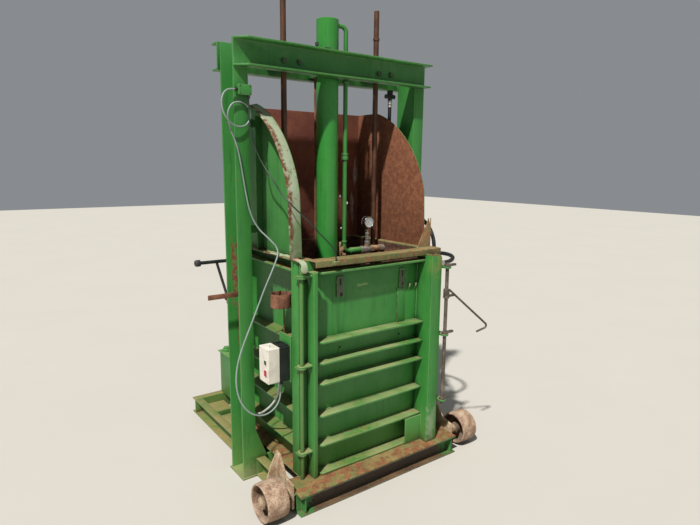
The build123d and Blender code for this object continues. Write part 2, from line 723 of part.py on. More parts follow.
with BuildPart() as guide_bolts:
    for guide in (-GUIDE_X, GUIDE_X):
        for spread in (-BOLT_SPREAD, BOLT_SPREAD):
            for direction in (-1, 1):
                hexagon_bar(
                    BOLT_HEAD_R, (guide + spread, direction * BEAM_FACE, BOLT_LEVEL), BOLT_HEAD_T,
                    direction=(0, direction, 0),
                )
                round_bar(
                    BOLT_R, (guide + spread, direction * BEAM_FACE, BOLT_LEVEL), BEAM_WEB + BOLT_GRIP,
                    direction=(0, -direction, 0),
                )
save(guide_bolts, "guide_bolts")

# Bleed screw beside the barrel and the hose fitting under the rear crossbeam
FITTING_X = 500.0
FITTING_Y = HALF_POST + BEAM_FLANGE / 2
FITTING_R = 13.0
FITTING_NUT = 22.0
FITTING_TEE = 68.0
FITTING_DROP = 60.0
BLEED_X = CYLINDER_X - CYLINDER_R - 26
BLEED_Y = -30.0
BLEED_R = 5.0
with BuildPart() as cylinder_fittings:
    round_bar(BLEED_R, (BLEED_X, BLEED_Y, POST_TOP), 40)
    round_bar(BLEED_R + 4, (BLEED_X, BLEED_Y, POST_TOP + 30), 16)
    round_bar(BLEED_R, (BLEED_X - 18, BLEED_Y, POST_TOP + 20), 18, direction=(1, 0, 0))
    block((BLEED_X - 14, BLEED_X + 14), (-BEAM_REACH, BLEED_Y + 14), (POST_TOP, POST_TOP + 4))
    hexagon_bar(FITTING_R + 6, (FITTING_X, FITTING_Y, BEAM_LOW - FITTING_NUT), FITTING_NUT)
    round_bar(
        FITTING_R, (FITTING_X - FITTING_TEE / 2, FITTING_Y, BEAM_LOW - FITTING_NUT - 12), FITTING_TEE,
        direction=(1, 0, 0),
    )
    round_bar(FITTING_R, (FITTING_X, FITTING_Y, BEAM_LOW - FITTING_DROP), FITTING_DROP - 18)
save(cylinder_fittings, "cylinder_fittings")

# Pressure pipe: a bend from the barrel's head, a long drop and an elbow to the manifold
BEND_WAY = Vector(PIPE_X - CYLINDER_X, PIPE_Y, 0)
BEND_START = Vector(CYLINDER_X, 0, PIPE_BEND_TOP) + BEND_WAY.normalized() * (CYLINDER_R - 5)
with BuildPart() as pressure_pipe:
    with BuildLine() as drop:
        FilletPolyline(
            BEND_START,
            (PIPE_X, PIPE_Y, PIPE_BEND_TOP),
            (PIPE_X, PIPE_Y, MANIFOLD_Z),
            (MANIFOLD_START, PIPE_Y, MANIFOLD_Z),
            radius=PIPE_BEND_R,
        )
    with BuildSketch(Plane(drop.line @ 0, z_dir=drop.line % 0)):
        Circle(PIPE_R)
        Circle(PIPE_R - PIPE_WALL, mode=Mode.SUBTRACT)
    sweep(path=drop.line)
    with BuildSketch(Plane.XY.offset(UNION_LEVEL)):
        with Locations((PIPE_X, PIPE_Y)):
            RegularPolygon(UNION_R, 6)
            Circle(PIPE_R - 1, mode=Mode.SUBTRACT)
    extrude(amount=UNION_HEIGHT)
    round_bar(CYLINDER_R, (CYLINDER_X, 0, PIPE_BEND_TOP - 50), 100, mode=Mode.SUBTRACT)
save(pressure_pipe, "pressure_pipe")

# Manifold: a rusty run with a tee for the gauge, out through the right wall
with BuildPart() as manifold_pipe:
    round_bar(
        PIPE_R, (MANIFOLD_START, PIPE_Y, MANIFOLD_Z), MANIFOLD_END - MANIFOLD_START,
        direction=(1, 0, 0),
    )
    round_bar(TEE_R, (TEE_X - TEE_LENGTH / 2, PIPE_Y, MANIFOLD_Z), TEE_LENGTH, direction=(1, 0, 0))
    round_bar(TEE_R, (MANIFOLD_START, PIPE_Y, MANIFOLD_Z), 22, direction=(1, 0, 0))
    round_bar(TEE_R - 2, (TEE_X, PIPE_Y, MANIFOLD_Z), TEE_LENGTH / 2 + 8)
save(manifold_pipe, "manifold_pipe")

with BuildPart() as return_pipe:
    round_bar(RETURN_R, (RETURN_X, RETURN_Y, RETURN_FOOT), CLAMP_LOW - RETURN_FOOT)
    round_bar(
        math.hypot(RETURN_X - CYLINDER_X, RETURN_Y) - CYLINDER_R, (RETURN_X, RETURN_Y, RETURN_FOOT),
        RETURN_NUT_HEIGHT,
    )
save(return_pipe, "return_pipe")

# Gauge on its stem, an open-faced case with a pointer on a spindle
STEM_FOOT = MANIFOLD_Z + TEE_LENGTH / 2 + 8
GAUGE_BACK = PIPE_Y + GAUGE_DEPTH / 2
GAUGE_FACE = GAUGE_BACK - GAUGE_DEPTH
with BuildPart() as pressure_gauge:
    round_bar(GAUGE_R, (TEE_X, GAUGE_BACK, GAUGE_Z), GAUGE_DEPTH, direction=(0, -1, 0))
    fillet(pressure_gauge.faces().sort_by(Axis.Y)[-1].edges(), 6)
    round_bar(
        GAUGE_R - GAUGE_WALL, (TEE_X, GAUGE_FACE, GAUGE_Z), GAUGE_RECESS,
        direction=(0, 1, 0), mode=Mode.SUBTRACT,
    )
    round_bar(1.5, (TEE_X, GAUGE_FACE + GAUGE_RECESS, GAUGE_Z), GAUGE_RECESS - 2, direction=(0, -1, 0))
    round_bar(STEM_R, (TEE_X, PIPE_Y, STEM_FOOT), GAUGE_Z - GAUGE_R - STEM_FOOT + 4)
    hexagon_bar(STEM_R + 6, (TEE_X, PIPE_Y, STEM_FOOT), 18)
    hexagon_bar(STEM_R + 4, (TEE_X, PIPE_Y, GAUGE_Z - GAUGE_R - 16), 18)
save(pressure_gauge, "pressure_gauge")

with BuildPart() as gauge_pointer:
    POINTER_Y = GAUGE_FACE + GAUGE_RECESS - 4
    with BuildSketch(Plane.XZ.offset(-POINTER_Y)):
        with Locations(Location((TEE_X, GAUGE_Z, 0), (0, 0, -45))):
            Circle(4)
            Polygon((-2.5, 0), (2.5, 0), (0.6, -POINTER_LENGTH), (-0.6, -POINTER_LENGTH), align=None)
            Circle(1.5 + RUN_CLEARANCE, mode=Mode.SUBTRACT)
    extrude(amount=1.5)
save(gauge_pointer, "gauge_pointer")

# Platen: a plate with upstand ribs, a centre boss for the piston rod and a boss for each guide rod
PLATEN_X = BOX_HALF - PLATEN_GAP
PLATEN_FRONT = -BOX_FRONT + PLATEN_GAP
PLATEN_BACK = BOX_REAR - PLATEN_GAP
with BuildPart() as platen:
    block((-PLATEN_X, PLATEN_X), (PLATEN_FRONT, PLATEN_BACK), (PLATEN_REST, PLATEN_REST + PLATEN_T))
    rib_low = PLATEN_REST + PLATEN_T
    for x in (-PLATEN_X + 4, CYLINDER_X - 60, CYLINDER_X + 50, PLATEN_X - 4 - PLATEN_RIB_T):
        block((x, x + PLATEN_RIB_T), (PLATEN_FRONT + 4, PLATEN_BACK - 4), (rib_low, PLATEN_TOP))
    for y in (PLATEN_FRONT + 4, -60, 50, PLATEN_BACK - 4 - PLATEN_RIB_T):
        block((-PLATEN_X + 4, PLATEN_X - 4), (y, y + PLATEN_RIB_T), (rib_low, PLATEN_TOP))
    round_bar(ROD_R + 15, (CYLINDER_X, 0, rib_low), PLATEN_RIB_HEIGHT)
    for guide in (-GUIDE_X, GUIDE_X):
        round_bar(GUIDE_BOSS_R, (guide, 0, rib_low), PLATEN_RIB_HEIGHT)
save(platen, "platen")

with BuildPart() as guide_rods:
    for guide in (-GUIDE_X, GUIDE_X):
        round_bar(GUIDE_R, (guide, 0, PLATEN_TOP), GUIDE_TOP - PLATEN_TOP)
    chamfer(guide_rods.faces().filter_by(Axis.Z).group_by(Axis.Z)[-1].edges(), 2)
    round_bar(COLLAR_R, (GUIDE_X, 0, COLLAR_LEVEL), COLLAR_HEIGHT)
save(guide_rods, "guide_rods")

with BuildPart() as piston_rod:
    round_bar(ROD_R, (CYLINDER_X, 0, PLATEN_TOP), PISTON_REST - PLATEN_TOP)
    round_bar(CYLINDER_R - CYLINDER_WALL - RUN_CLEARANCE, (CYLINDER_X, 0, PISTON_REST), PISTON_HEIGHT)
save(piston_rod, "piston_rod")

# Door panel with its bag slots and peep holes
with BuildPart() as door_panel:
    block(
        (DOOR_STILE_T - DOOR_LEFT, DOOR_RIGHT - CLOSER_T), (-DOOR_FACE, -DOOR_BACK),
        (DOOR_FOOT, DOOR_TOP - DOOR_RIB_T),
    )
    for x, z, radius in UPPER_PEEPS + LOWER_PEEPS:
        round_bar(
            radius, (x, -DOOR_FACE - 1, z), DOOR_PANEL_T + 2,
            direction=(0, 1, 0), mode=Mode.SUBTRACT,
        )
    for x in SLOT_X:
        with BuildSketch(Plane.XZ.offset(DOOR_FACE + 1)):
            with Locations((x, SLOT_Z)):
                SlotOverall(SLOT_HEIGHT, SLOT_WIDTH, rotation=90)
        extrude(amount=-DOOR_PANEL_T - 2, mode=Mode.SUBTRACT)
save(door_panel, "door_panel")

with BuildPart() as door_ribs:
    for top in DOOR_RIB_TOPS:
        with BuildSketch(Plane.XY.offset(top - DOOR_RIB_T)):
            with BuildLine():
                Polyline(
                    (-DOOR_LEFT + DOOR_STILE_T, -DOOR_FACE if top < DOOR_TOP else -DOOR_BACK),
                    (DOOR_RIGHT - CLOSER_WIDTH, -DOOR_FACE if top < DOOR_TOP else -DOOR_BACK),
                    (DOOR_RIGHT - CLOSER_WIDTH, -DOOR_FRONT),
                    (-DOOR_LEFT + DOOR_STILE_LIP + DOOR_RIB_CHAMFER, -DOOR_FRONT),
                    (-DOOR_LEFT + DOOR_STILE_LIP, -DOOR_FRONT + DOOR_RIB_CHAMFER),
                    (-DOOR_LEFT + DOOR_STILE_T, -DOOR_FRONT + DOOR_RIB_CHAMFER),
                    close=True,
                )
            make_face()
        extrude(amount=DOOR_RIB_T)
save(door_ribs, "door_ribs")

# Left stile with the three moving hinge leaves, each with a gusset under it
with BuildPart() as door_stile_left:
    block((-DOOR_LEFT, DOOR_STILE_T - DOOR_LEFT), (-DOOR_FRONT, -DOOR_BACK), (DOOR_FOOT, DOOR_TOP))
    block(
        (-DOOR_LEFT, DOOR_STILE_LIP - DOOR_LEFT), (-DOOR_FRONT, DOOR_STILE_T - DOOR_FRONT),
        (DOOR_FOOT, DOOR_TOP),
    )
    for level in HINGE_LEVELS:
        block(
            (HINGE_X, -DOOR_LEFT), (HINGE_Y - HINGE_BOSS_R, HINGE_Y + HINGE_BOSS_R),
            (level, level + HINGE_LEAF_T),
        )
        round_bar(HINGE_BOSS_R, (HINGE_X, HINGE_Y, level), HINGE_LEAF_T)
        round_bar(HINGE_R + RUN_CLEARANCE, (HINGE_X, HINGE_Y, level), HINGE_LEAF_T, mode=Mode.SUBTRACT)
        with BuildSketch(Plane.XZ.offset(-HINGE_Y + HINGE_GUSSET_T / 2)):
            with BuildLine():
                Polyline(
                    (-DOOR_LEFT, level), (-DOOR_LEFT - HINGE_GUSSET_WIDTH[0], level),
                    (-DOOR_LEFT, level - HINGE_GUSSET),
                    close=True,
                )
            make_face()
        extrude(amount=-HINGE_GUSSET_T)
save(door_stile_left, "door_stile_left")

# Right stile: a deep closing channel with a rounded top corner
CLOSER_INNER = DOOR_RIGHT - CLOSER_WIDTH
CLOSER_STEP = -RIM_FRONT - 2
with BuildPart() as door_stile_right:
    block(
        (CLOSER_INNER, DOOR_RIGHT), (-CLOSER_FRONT, CLOSER_T - CLOSER_FRONT), (DOOR_FOOT, CLOSER_TOP),
    )
    for x in (CLOSER_INNER, DOOR_RIGHT - CLOSER_T):
        block((x, x + CLOSER_T), (-CLOSER_FRONT, CLOSER_STEP), (DOOR_FOOT, CLOSER_TOP))
        block((x, x + CLOSER_T), (CLOSER_STEP, -DOOR_FACE), (DOOR_FOOT, DOOR_TOP))
    block((DOOR_RIGHT - CLOSER_T, DOOR_RIGHT), (-DOOR_FACE, -DOOR_BACK), (DOOR_FOOT, DOOR_TOP))
    for low in (DOOR_FOOT, DOOR_TOP - CLOSER_T):
        block((CLOSER_INNER, DOOR_RIGHT), (-DOOR_FRONT, -DOOR_FACE), (low, low + CLOSER_T))
    block(
        (CLOSER_INNER - CORNER_PLATE[0], CLOSER_INNER), (-DOOR_FRONT - CLOSER_T, -DOOR_FRONT),
        (DOOR_FOOT, CORNER_PLATE[1]),
    )
    with BuildSketch(Plane.XZ.offset(CLOSER_FRONT + 1)):
        with Locations((DOOR_RIGHT - CLOSER_CORNER_R / 2, CLOSER_TOP - CLOSER_CORNER_R / 2)):
            Rectangle(CLOSER_CORNER_R, CLOSER_CORNER_R)
        with Locations((DOOR_RIGHT - CLOSER_CORNER_R, CLOSER_TOP - CLOSER_CORNER_R)):
            Circle(CLOSER_CORNER_R, mode=Mode.SUBTRACT)
    extrude(amount=-(CLOSER_FRONT - RIM_FRONT + 1), mode=Mode.SUBTRACT)
save(door_stile_right, "door_stile_right")

# Door fittings: plates around the slots and upper peep holes, a cover strip and two nibs
with BuildPart() as door_fittings:
    for x, (hole_x, hole_z, hole_radius) in zip(SLOT_X, UPPER_PEEPS):
        with BuildSketch(Plane.XZ.offset(DOOR_FACE)):
            with Locations((x, SLOT_PLATE_Z)):
                RectangleRounded(SLOT_PLATE[0], SLOT_PLATE[1], 5)
            with Locations((x, SLOT_Z)):
                SlotOverall(SLOT_HEIGHT, SLOT_WIDTH, rotation=90, mode=Mode.SUBTRACT)
            with Locations((hole_x, hole_z)):
                Circle(hole_radius, mode=Mode.SUBTRACT)
        extrude(amount=SLOT_PLATE_T)
    block(COVER_STRIP_X, (-DOOR_FACE - COVER_STRIP_T, -DOOR_FACE), (DOOR_RIB_TOPS[5], COVER_STRIP_TOP))
    for x in NIB_X:
        with BuildSketch(Plane.YZ.offset(x - NIB_WIDTH / 2)):
            with BuildLine():
                Polyline(
                    (-DOOR_FACE, NIB_TOP), (-DOOR_FACE - NIB_DEPTH, NIB_TOP),
                    (-DOOR_FACE, NIB_TOP - NIB_HEIGHT), close=True,
                )
            make_face()
        extrude(amount=NIB_WIDTH)
save(door_fittings, "door_fittings")

# Hinge rod, its three fixed leaves with gussets, and the steadying strap over its top
with BuildPart() as hinge_rod:
    round_bar(HINGE_R, (HINGE_X, HINGE_Y, FLOOR_TOP), RIM_TOP - FLOOR_TOP)
save(hinge_rod, "hinge_rod")

with BuildPart() as hinge_brackets:
    for level in HINGE_LEVELS:
        low = level - HINGE_LEAF_T
        round_bar(HINGE_BOSS_R, (HINGE_X, HINGE_Y, low), HINGE_LEAF_T)
        block((HINGE_X - HINGE_BOSS_R, HINGE_X + HINGE_BOSS_R), (HINGE_Y, -CORNER_FRONT), (low, level))
        round_bar(HINGE_R + RUN_CLEARANCE, (HINGE_X, HINGE_Y, low), HINGE_LEAF_T, mode=Mode.SUBTRACT)
        with BuildSketch(Plane.YZ.offset(HINGE_X - HINGE_GUSSET_T / 2)):
            with BuildLine():
                Polyline(
                    (-CORNER_FRONT, low), (-CORNER_FRONT, low - HINGE_GUSSET),
                    (-CORNER_FRONT - HINGE_GUSSET_WIDTH[1], low), close=True,
                )
            make_face()
        extrude(amount=HINGE_GUSSET_T)
save(hinge_brackets, "hinge_brackets")

STRAP_X = (HINGE_X - 21, HINGE_X + 15)
HOOK_MID = (STRAP_X[0] + STRAP_X[1]) / 2
HOOK_R = (STRAP_X[1] - STRAP_X[0]) / 2
HOOK_Y = HINGE_Y - 32
HOOK_LOW = RIM_TOP - 32
with BuildPart() as hinge_strap:
    with BuildSketch(Plane.XY.offset(RIM_TOP)):
        with BuildLine():
            Polyline(
                (HINGE_X + 33, HINGE_Y + 187), (HINGE_X + 3, HINGE_Y + 187), (HINGE_X - 26, HINGE_Y + 13),
                (STRAP_X[0], HOOK_Y), (STRAP_X[1], HOOK_Y), (STRAP_X[1], HINGE_Y + 13), close=True,
            )
        make_face()
    extrude(amount=STRAP_T)
    with BuildSketch(Plane.XZ.offset(-HOOK_Y)):
        with BuildLine():
            Line((STRAP_X[0], RIM_TOP + STRAP_T), (STRAP_X[0], HOOK_LOW))
            ThreePointArc((STRAP_X[0], HOOK_LOW), (HOOK_MID, HOOK_LOW - HOOK_R), (STRAP_X[1], HOOK_LOW))
            Line((STRAP_X[1], HOOK_LOW), (STRAP_X[1], RIM_TOP + STRAP_T))
            Line((STRAP_X[1], RIM_TOP + STRAP_T), (STRAP_X[0], RIM_TOP + STRAP_T))
        make_face()
    extrude(amount=STRAP_T)
save(hinge_strap, "hinge_strap")

# Lock brackets on the right corner post, and the lock shaft with its cams and hand lever
with BuildPart() as lock_brackets:
    for level in LOCK_LEVELS:
        with BuildSketch(Plane.XY.offset(level - LOCK_BRACKET_T)):
            with BuildLine():
                Polyline(
                    (LOCK_BRACKET_X[0], LOCK_Y), (LOCK_BRACKET_X[0], -CORNER_FRONT),
                    (CORNER_OUT, -CORNER_FRONT), (LOCK_BRACKET_X[1], LOCK_Y),
                )
                ThreePointArc(
                    (LOCK_BRACKET_X[1], LOCK_Y), (LOCK_X, LOCK_Y - LOCK_BRACKET_R),
                    (LOCK_BRACKET_X[0], LOCK_Y),
                )
            make_face()
            with Locations((LOCK_X, LOCK_Y)):
                Circle(LOCK_R + RUN_CLEARANCE, mode=Mode.SUBTRACT)
        extrude(amount=LOCK_BRACKET_T)
save(lock_brackets, "lock_brackets")

with BuildPart() as lock_shaft:
    round_bar(LOCK_R, (LOCK_X, LOCK_Y, LOCK_LEVELS[0] - 24), LOCK_LEVELS[2] - LOCK_LEVELS[0] + 44)
    for level in LOCK_LEVELS:
        with BuildSketch(Plane.XY.offset(level)):
            with Locations((LOCK_X, LOCK_Y)):
                Circle(LOCK_BOSS_R)
            with BuildLine():
                Polyline(
                    (LOCK_X, LOCK_Y - LOCK_R), (LOCK_CAM_REACH, LOCK_Y - 7), (LOCK_CAM_REACH, LOCK_Y + 9),
                    (LOCK_X, LOCK_Y + LOCK_R), close=True,
                )
            make_face()
        extrude(amount=LOCK_CAM_T)
    round_bar(LOCK_BOSS_R - 2, (LOCK_X, LOCK_Y, LEVER_BOSS_LOW), LEVER_BOSS_HEIGHT)
    block((LOCK_X, LOCK_CAM_REACH), (LOCK_Y - 5, LOCK_Y + 5), (LEVER_BOSS_LOW + 4, LEVER_BOSS_LOW + 17))
    with BuildLine() as handle:
        FilletPolyline(
            (LOCK_X, LOCK_Y, LEVER_START[1]), (LEVER_START[0], LOCK_Y, LEVER_START[1]),
            (LEVER_END[0], LOCK_Y, LEVER_END[1]), (LEVER_HOOK[0], LOCK_Y, LEVER_HOOK[1]),
            radius=LEVER_BEND_R,
        )
    with BuildSketch(Plane(handle.line @ 0, z_dir=handle.line % 0)):
        Circle(LEVER_R)
    sweep(path=handle.line)
save(lock_shaft, "lock_shaft")

# Wheels: crowned drums with a disc and a hub
for side, name in ((-1, "wheel_left"), (1, "wheel_right")):
    with BuildPart() as wheel:
        with BuildSketch(Plane.XZ.offset(-WHEEL_Y)):
            middle = (WHEEL_INNER + WHEEL_OUTER) / 2
            with BuildLine():
                ThreePointArc(
                    (side * WHEEL_INNER, WHEEL_Z + WHEEL_R - WHEEL_CROWN),
                    (side * middle, WHEEL_Z + WHEEL_R),
                    (side * WHEEL_OUTER, WHEEL_Z + WHEEL_R - WHEEL_CROWN),
                )
                Polyline(
                    (side * WHEEL_OUTER, WHEEL_Z + WHEEL_R - WHEEL_CROWN),
                    (side * WHEEL_OUTER, WHEEL_Z + WHEEL_R - WHEEL_CROWN - WHEEL_WALL),
                    (side * WHEEL_INNER, WHEEL_Z + WHEEL_R - WHEEL_CROWN - WHEEL_WALL),
                    (side * WHEEL_INNER, WHEEL_Z + WHEEL_R - WHEEL_CROWN),
                )
            make_face()
            with Locations((side * middle, WHEEL_Z + (WHEEL_R - WHEEL_WALL + AXLE_R) / 2)):
                Rectangle(WHEEL_DISC_T, WHEEL_R - WHEEL_WALL - AXLE_R - 2 * RUN_CLEARANCE)
            with Locations((side * middle, WHEEL_Z + (HUB_R + AXLE_R + RUN_CLEARANCE) / 2)):
                Rectangle(WHEEL_WIDTH - 2 * HUB_MARGIN, HUB_R - AXLE_R - RUN_CLEARANCE)
        revolve(axis=Axis((0, WHEEL_Y, WHEEL_Z), (1, 0, 0)))
    save(wheel, name)

# Wheel axles: a stub on a bracket plate, with a collar, an end washer and a welded fin
PLATE_FACE = POST_BACK + AXLE_PLATE_T
HUB_INNER = WHEEL_INNER + HUB_MARGIN
HUB_OUTER = WHEEL_OUTER - HUB_MARGIN
with BuildPart() as wheel_axles:
    for side in (-1, 1):
        with BuildSketch(Plane.YZ.offset(side * POST_BACK)):
            with BuildLine():
                Polyline(
                    (-FRONT_BACK, 24), (-FRONT_BACK, 150), (WHEEL_Y + 35, 165), (WHEEL_Y + 88, 250),
                    (WHEEL_Y + 122, 262), (WHEEL_Y + 178, 120), (WHEEL_Y + 178, 24), close=True,
                )
            make_face()
        extrude(amount=side * AXLE_PLATE_T)
        outward = (side, 0, 0)
        round_bar(
            AXLE_R, (side * PLATE_FACE, WHEEL_Y, WHEEL_Z), HUB_OUTER + AXLE_TAIL - PLATE_FACE,
            direction=outward,
        )
        round_bar(
            AXLE_COLLAR_R, (side * PLATE_FACE, WHEEL_Y, WHEEL_Z), HUB_INNER - 0.3 - PLATE_FACE,
            direction=outward,
        )
        round_bar(WASHER_R, (side * (HUB_OUTER + 0.3), WHEEL_Y, WHEEL_Z), WASHER_T, direction=outward)
        round_bar(
            SPLIT_PIN_R, (side * (HUB_OUTER + AXLE_TAIL - 4), WHEEL_Y, WHEEL_Z - AXLE_R - 8),
            2 * AXLE_R + 16,
        )
        with BuildSketch(Plane.XZ.offset(-WHEEL_Y - 124)):
            with BuildLine():
                Polyline(
                    (side * PLATE_FACE, 70), (side * (PLATE_FACE + 52), 110),
                    (side * (PLATE_FACE + 30), 178), (side * PLATE_FACE, 236), close=True,
                )
            make_face()
        extrude(amount=-FIN_T)
save(wheel_axles, "wheel_axles")

# Control box: a black base on the box side and a pale cover with two button holes
CONTROL_SPAN = (CONTROL_Y - CONTROL_WIDTH / 2, CONTROL_Y + CONTROL_WIDTH / 2)
CONTROL_TOP = CONTROL_LOW + CONTROL_HEIGHT
GLAND_SPOTS = ((-CONTROL_FACE - 36, CONTROL_Y - 20), (-CONTROL_FACE - 26, CONTROL_Y + 18))
with BuildPart() as control_box_base:
    block((-CONTROL_BASE_FACE, -CONTROL_FACE), CONTROL_SPAN, (CONTROL_LOW, CONTROL_TOP))
    fillet(control_box_base.edges().filter_by(Axis.X), 5)
    for x, y in GLAND_SPOTS:
        round_bar(GLAND_R, (x, y, CONTROL_LOW), GLAND_LENGTH, direction=(0, 0, -1))
        hexagon_bar(GLAND_R + 4, (x, y, CONTROL_LOW), 8, direction=(0, 0, -1))
save(control_box_base, "control_box_base")

with BuildPart() as control_box_cover:
    block((-CONTROL_COVER_FACE, -CONTROL_BASE_FACE), CONTROL_SPAN, (CONTROL_LOW, CONTROL_TOP))
    fillet(control_box_cover.edges().filter_by(Axis.X), 5)
    fillet(control_box_cover.faces().sort_by(Axis.X)[0].edges(), 3)
    block(
        (-CONTROL_COVER_FACE + COVER_WALL, -CONTROL_BASE_FACE),
        (CONTROL_SPAN[0] + COVER_WALL, CONTROL_SPAN[1] - COVER_WALL),
        (CONTROL_LOW + COVER_WALL, CONTROL_TOP - COVER_WALL), mode=Mode.SUBTRACT,
    )
    for level, (width, height) in ((START_Z, START_SIZE), (STOP_Z, STOP_SIZE)):
        half_width = width / 2 + RUN_CLEARANCE
        half_height = height / 2 + RUN_CLEARANCE
        block(
            (-CONTROL_COVER_FACE - 1, -CONTROL_COVER_FACE + COVER_WALL + 1),
            (BUTTON_Y - half_width, BUTTON_Y + half_width),
            (level - half_height, level + half_height), mode=Mode.SUBTRACT,
        )
    round_bar(BOX_KNOB_R, (-CONTROL_COVER_FACE + 22, CONTROL_Y - 12, CONTROL_TOP - 2), 14)
save(control_box_cover, "control_box_cover")

BUTTON_FACE = -CONTROL_COVER_FACE - BUTTON_PROUD
for level, (width, height), name in (
    (START_Z, START_SIZE, "start_button"), (STOP_Z, STOP_SIZE, "stop_button"),
):
    with BuildPart() as button:
        block(
            (BUTTON_FACE, BUTTON_FACE + BUTTON_LENGTH + BUTTON_PROUD),
            (BUTTON_Y - width / 2, BUTTON_Y + width / 2), (level - height / 2, level + height / 2),
        )
        fillet(button.edges().filter_by(Axis.X), 2)
        fillet(button.faces().sort_by(Axis.X)[0].edges(), 1.5)
    save(button, name)

JUNCTION_MID = (JUNCTION_Z[0] + JUNCTION_Z[1]) / 2
with BuildPart() as junction_box:
    block(JUNCTION_X, (-HALF_POST - JUNCTION_DEPTH, -HALF_POST), JUNCTION_Z)
    fillet(junction_box.edges().filter_by(Axis.Y), 6)
    round_bar(
        JUNCTION_GLAND_R, (JUNCTION_X[1] - 14, -HALF_POST - 22, JUNCTION_Z[0]), 10,
        direction=(0, 0, -1),
    )
    round_bar(JUNCTION_GLAND_R, (JUNCTION_X[0], -HALF_POST - 15, JUNCTION_MID), 10, direction=(-1, 0, 0))
save(junction_box, "junction_box")

# Pin cup: a short length of pipe on a stem from the rib
with BuildPart() as pin_cup:
    round_bar(CUP_R, (CUP_X, CUP_Y, CUP_LOW), CUP_HEIGHT)
    round_bar(CUP_R - CUP_WALL, (CUP_X, CUP_Y, CUP_LOW + CUP_WALL), CUP_HEIGHT, mode=Mode.SUBTRACT)
    round_bar(CUP_STEM_R, (-RIB_OUT + CUP_STEM_R + 2, CUP_Y, RIB_TOPS[3]), CUP_LOW - RIB_TOPS[3])
save(pin_cup, "pin_cup")

# Hand lever: a leg on a pivot, a cross grip and a ball knob
PIVOT_FACE = HALF_POST + 8
with BuildPart() as hand_lever:
    eye_base = (HAND_PIVOT[0], HAND_Y - HAND_EYE_WIDTH / 2, HAND_PIVOT[1])
    round_bar(HAND_EYE_R, eye_base, HAND_EYE_WIDTH, direction=(0, 1, 0))
    round_bar(
        PIVOT_R + RUN_CLEARANCE, eye_base, HAND_EYE_WIDTH, direction=(0, 1, 0), mode=Mode.SUBTRACT,
    )
    leg = Vector(HAND_TOP[0] - HAND_PIVOT[0], 0, HAND_TOP[1] - HAND_PIVOT[1])
    foot = Vector(HAND_PIVOT[0], HAND_Y, HAND_PIVOT[1]) + leg.normalized() * 12
    round_bar(HAND_R - 2, foot, leg.length - 12, direction=leg)
    round_bar(HAND_R, (GRIP_LEFT, HAND_Y, GRIP_Z), GRIP_RIGHT - GRIP_LEFT, direction=(1, 0, 0))
    with BuildSketch(Plane((GRIP_LEFT, HAND_Y, GRIP_Z), z_dir=(-1, 0, 0))) as knob_end:
        Circle(KNOB_R)
    extrude(knob_end.sketch, amount=2 * KNOB_R - 6)
    fillet(hand_lever.faces().sort_by(Axis.X)[0].edges(), 10)
save(hand_lever, "hand_lever")

with BuildPart() as lever_bracket:
    block(
        (-POST_TIP, 50 - POST_TIP), (HALF_POST, PIVOT_FACE), (HAND_PIVOT[1] - 26, HAND_PIVOT[1] + 26),
    )
    round_bar(
        PIVOT_R, (HAND_PIVOT[0], PIVOT_FACE, HAND_PIVOT[1]), HAND_Y + 12 - PIVOT_FACE,
        direction=(0, 1, 0),
    )
    round_bar(
        PIVOT_R + 4, (HAND_PIVOT[0], HAND_Y + HAND_EYE_WIDTH / 2 + 0.5, HAND_PIVOT[1]), 4,
        direction=(0, 1, 0),
    )
    block(
        (-SIDE_BAR_REACH, -POST_BACK - POST_WEB), (-SIDE_BAR_T / 2, SIDE_BAR_T / 2),
        (SIDE_BAR_LOW, SIDE_BAR_LOW + SIDE_BAR_HEIGHT),
    )
save(lever_bracket, "lever_bracket")

# Power pack: tank with a lipped lid and filler cap, finned motor, bell housing and pump
with BuildPart() as oil_tank:
    block(TANK_X, TANK_Y, (BASE_HEIGHT, TANK_TOP - TANK_WALL))
    fillet(oil_tank.edges().filter_by(Axis.Z), 12)
    block(
        (TANK_X[0] + TANK_WALL, TANK_X[1] - TANK_WALL), (TANK_Y[0] + TANK_WALL, TANK_Y[1] - TANK_WALL),
        (BASE_HEIGHT + TANK_WALL, TANK_TOP - TANK_WALL), mode=Mode.SUBTRACT,
    )
    block(
        (TANK_X[0] - TANK_LIP, TANK_X[1] + TANK_LIP), (TANK_Y[0] - TANK_LIP, TANK_Y[1] + TANK_LIP),
        (TANK_TOP - TANK_WALL, TANK_TOP),
    )
    round_bar(28, (TANK_X[0] + 34, TANK_Y[1] - 40, TANK_TOP), 16)
    round_bar(20, (TANK_X[0] + 34, TANK_Y[1] - 40, TANK_TOP + 16), 14)
save(oil_tank, "oil_tank")

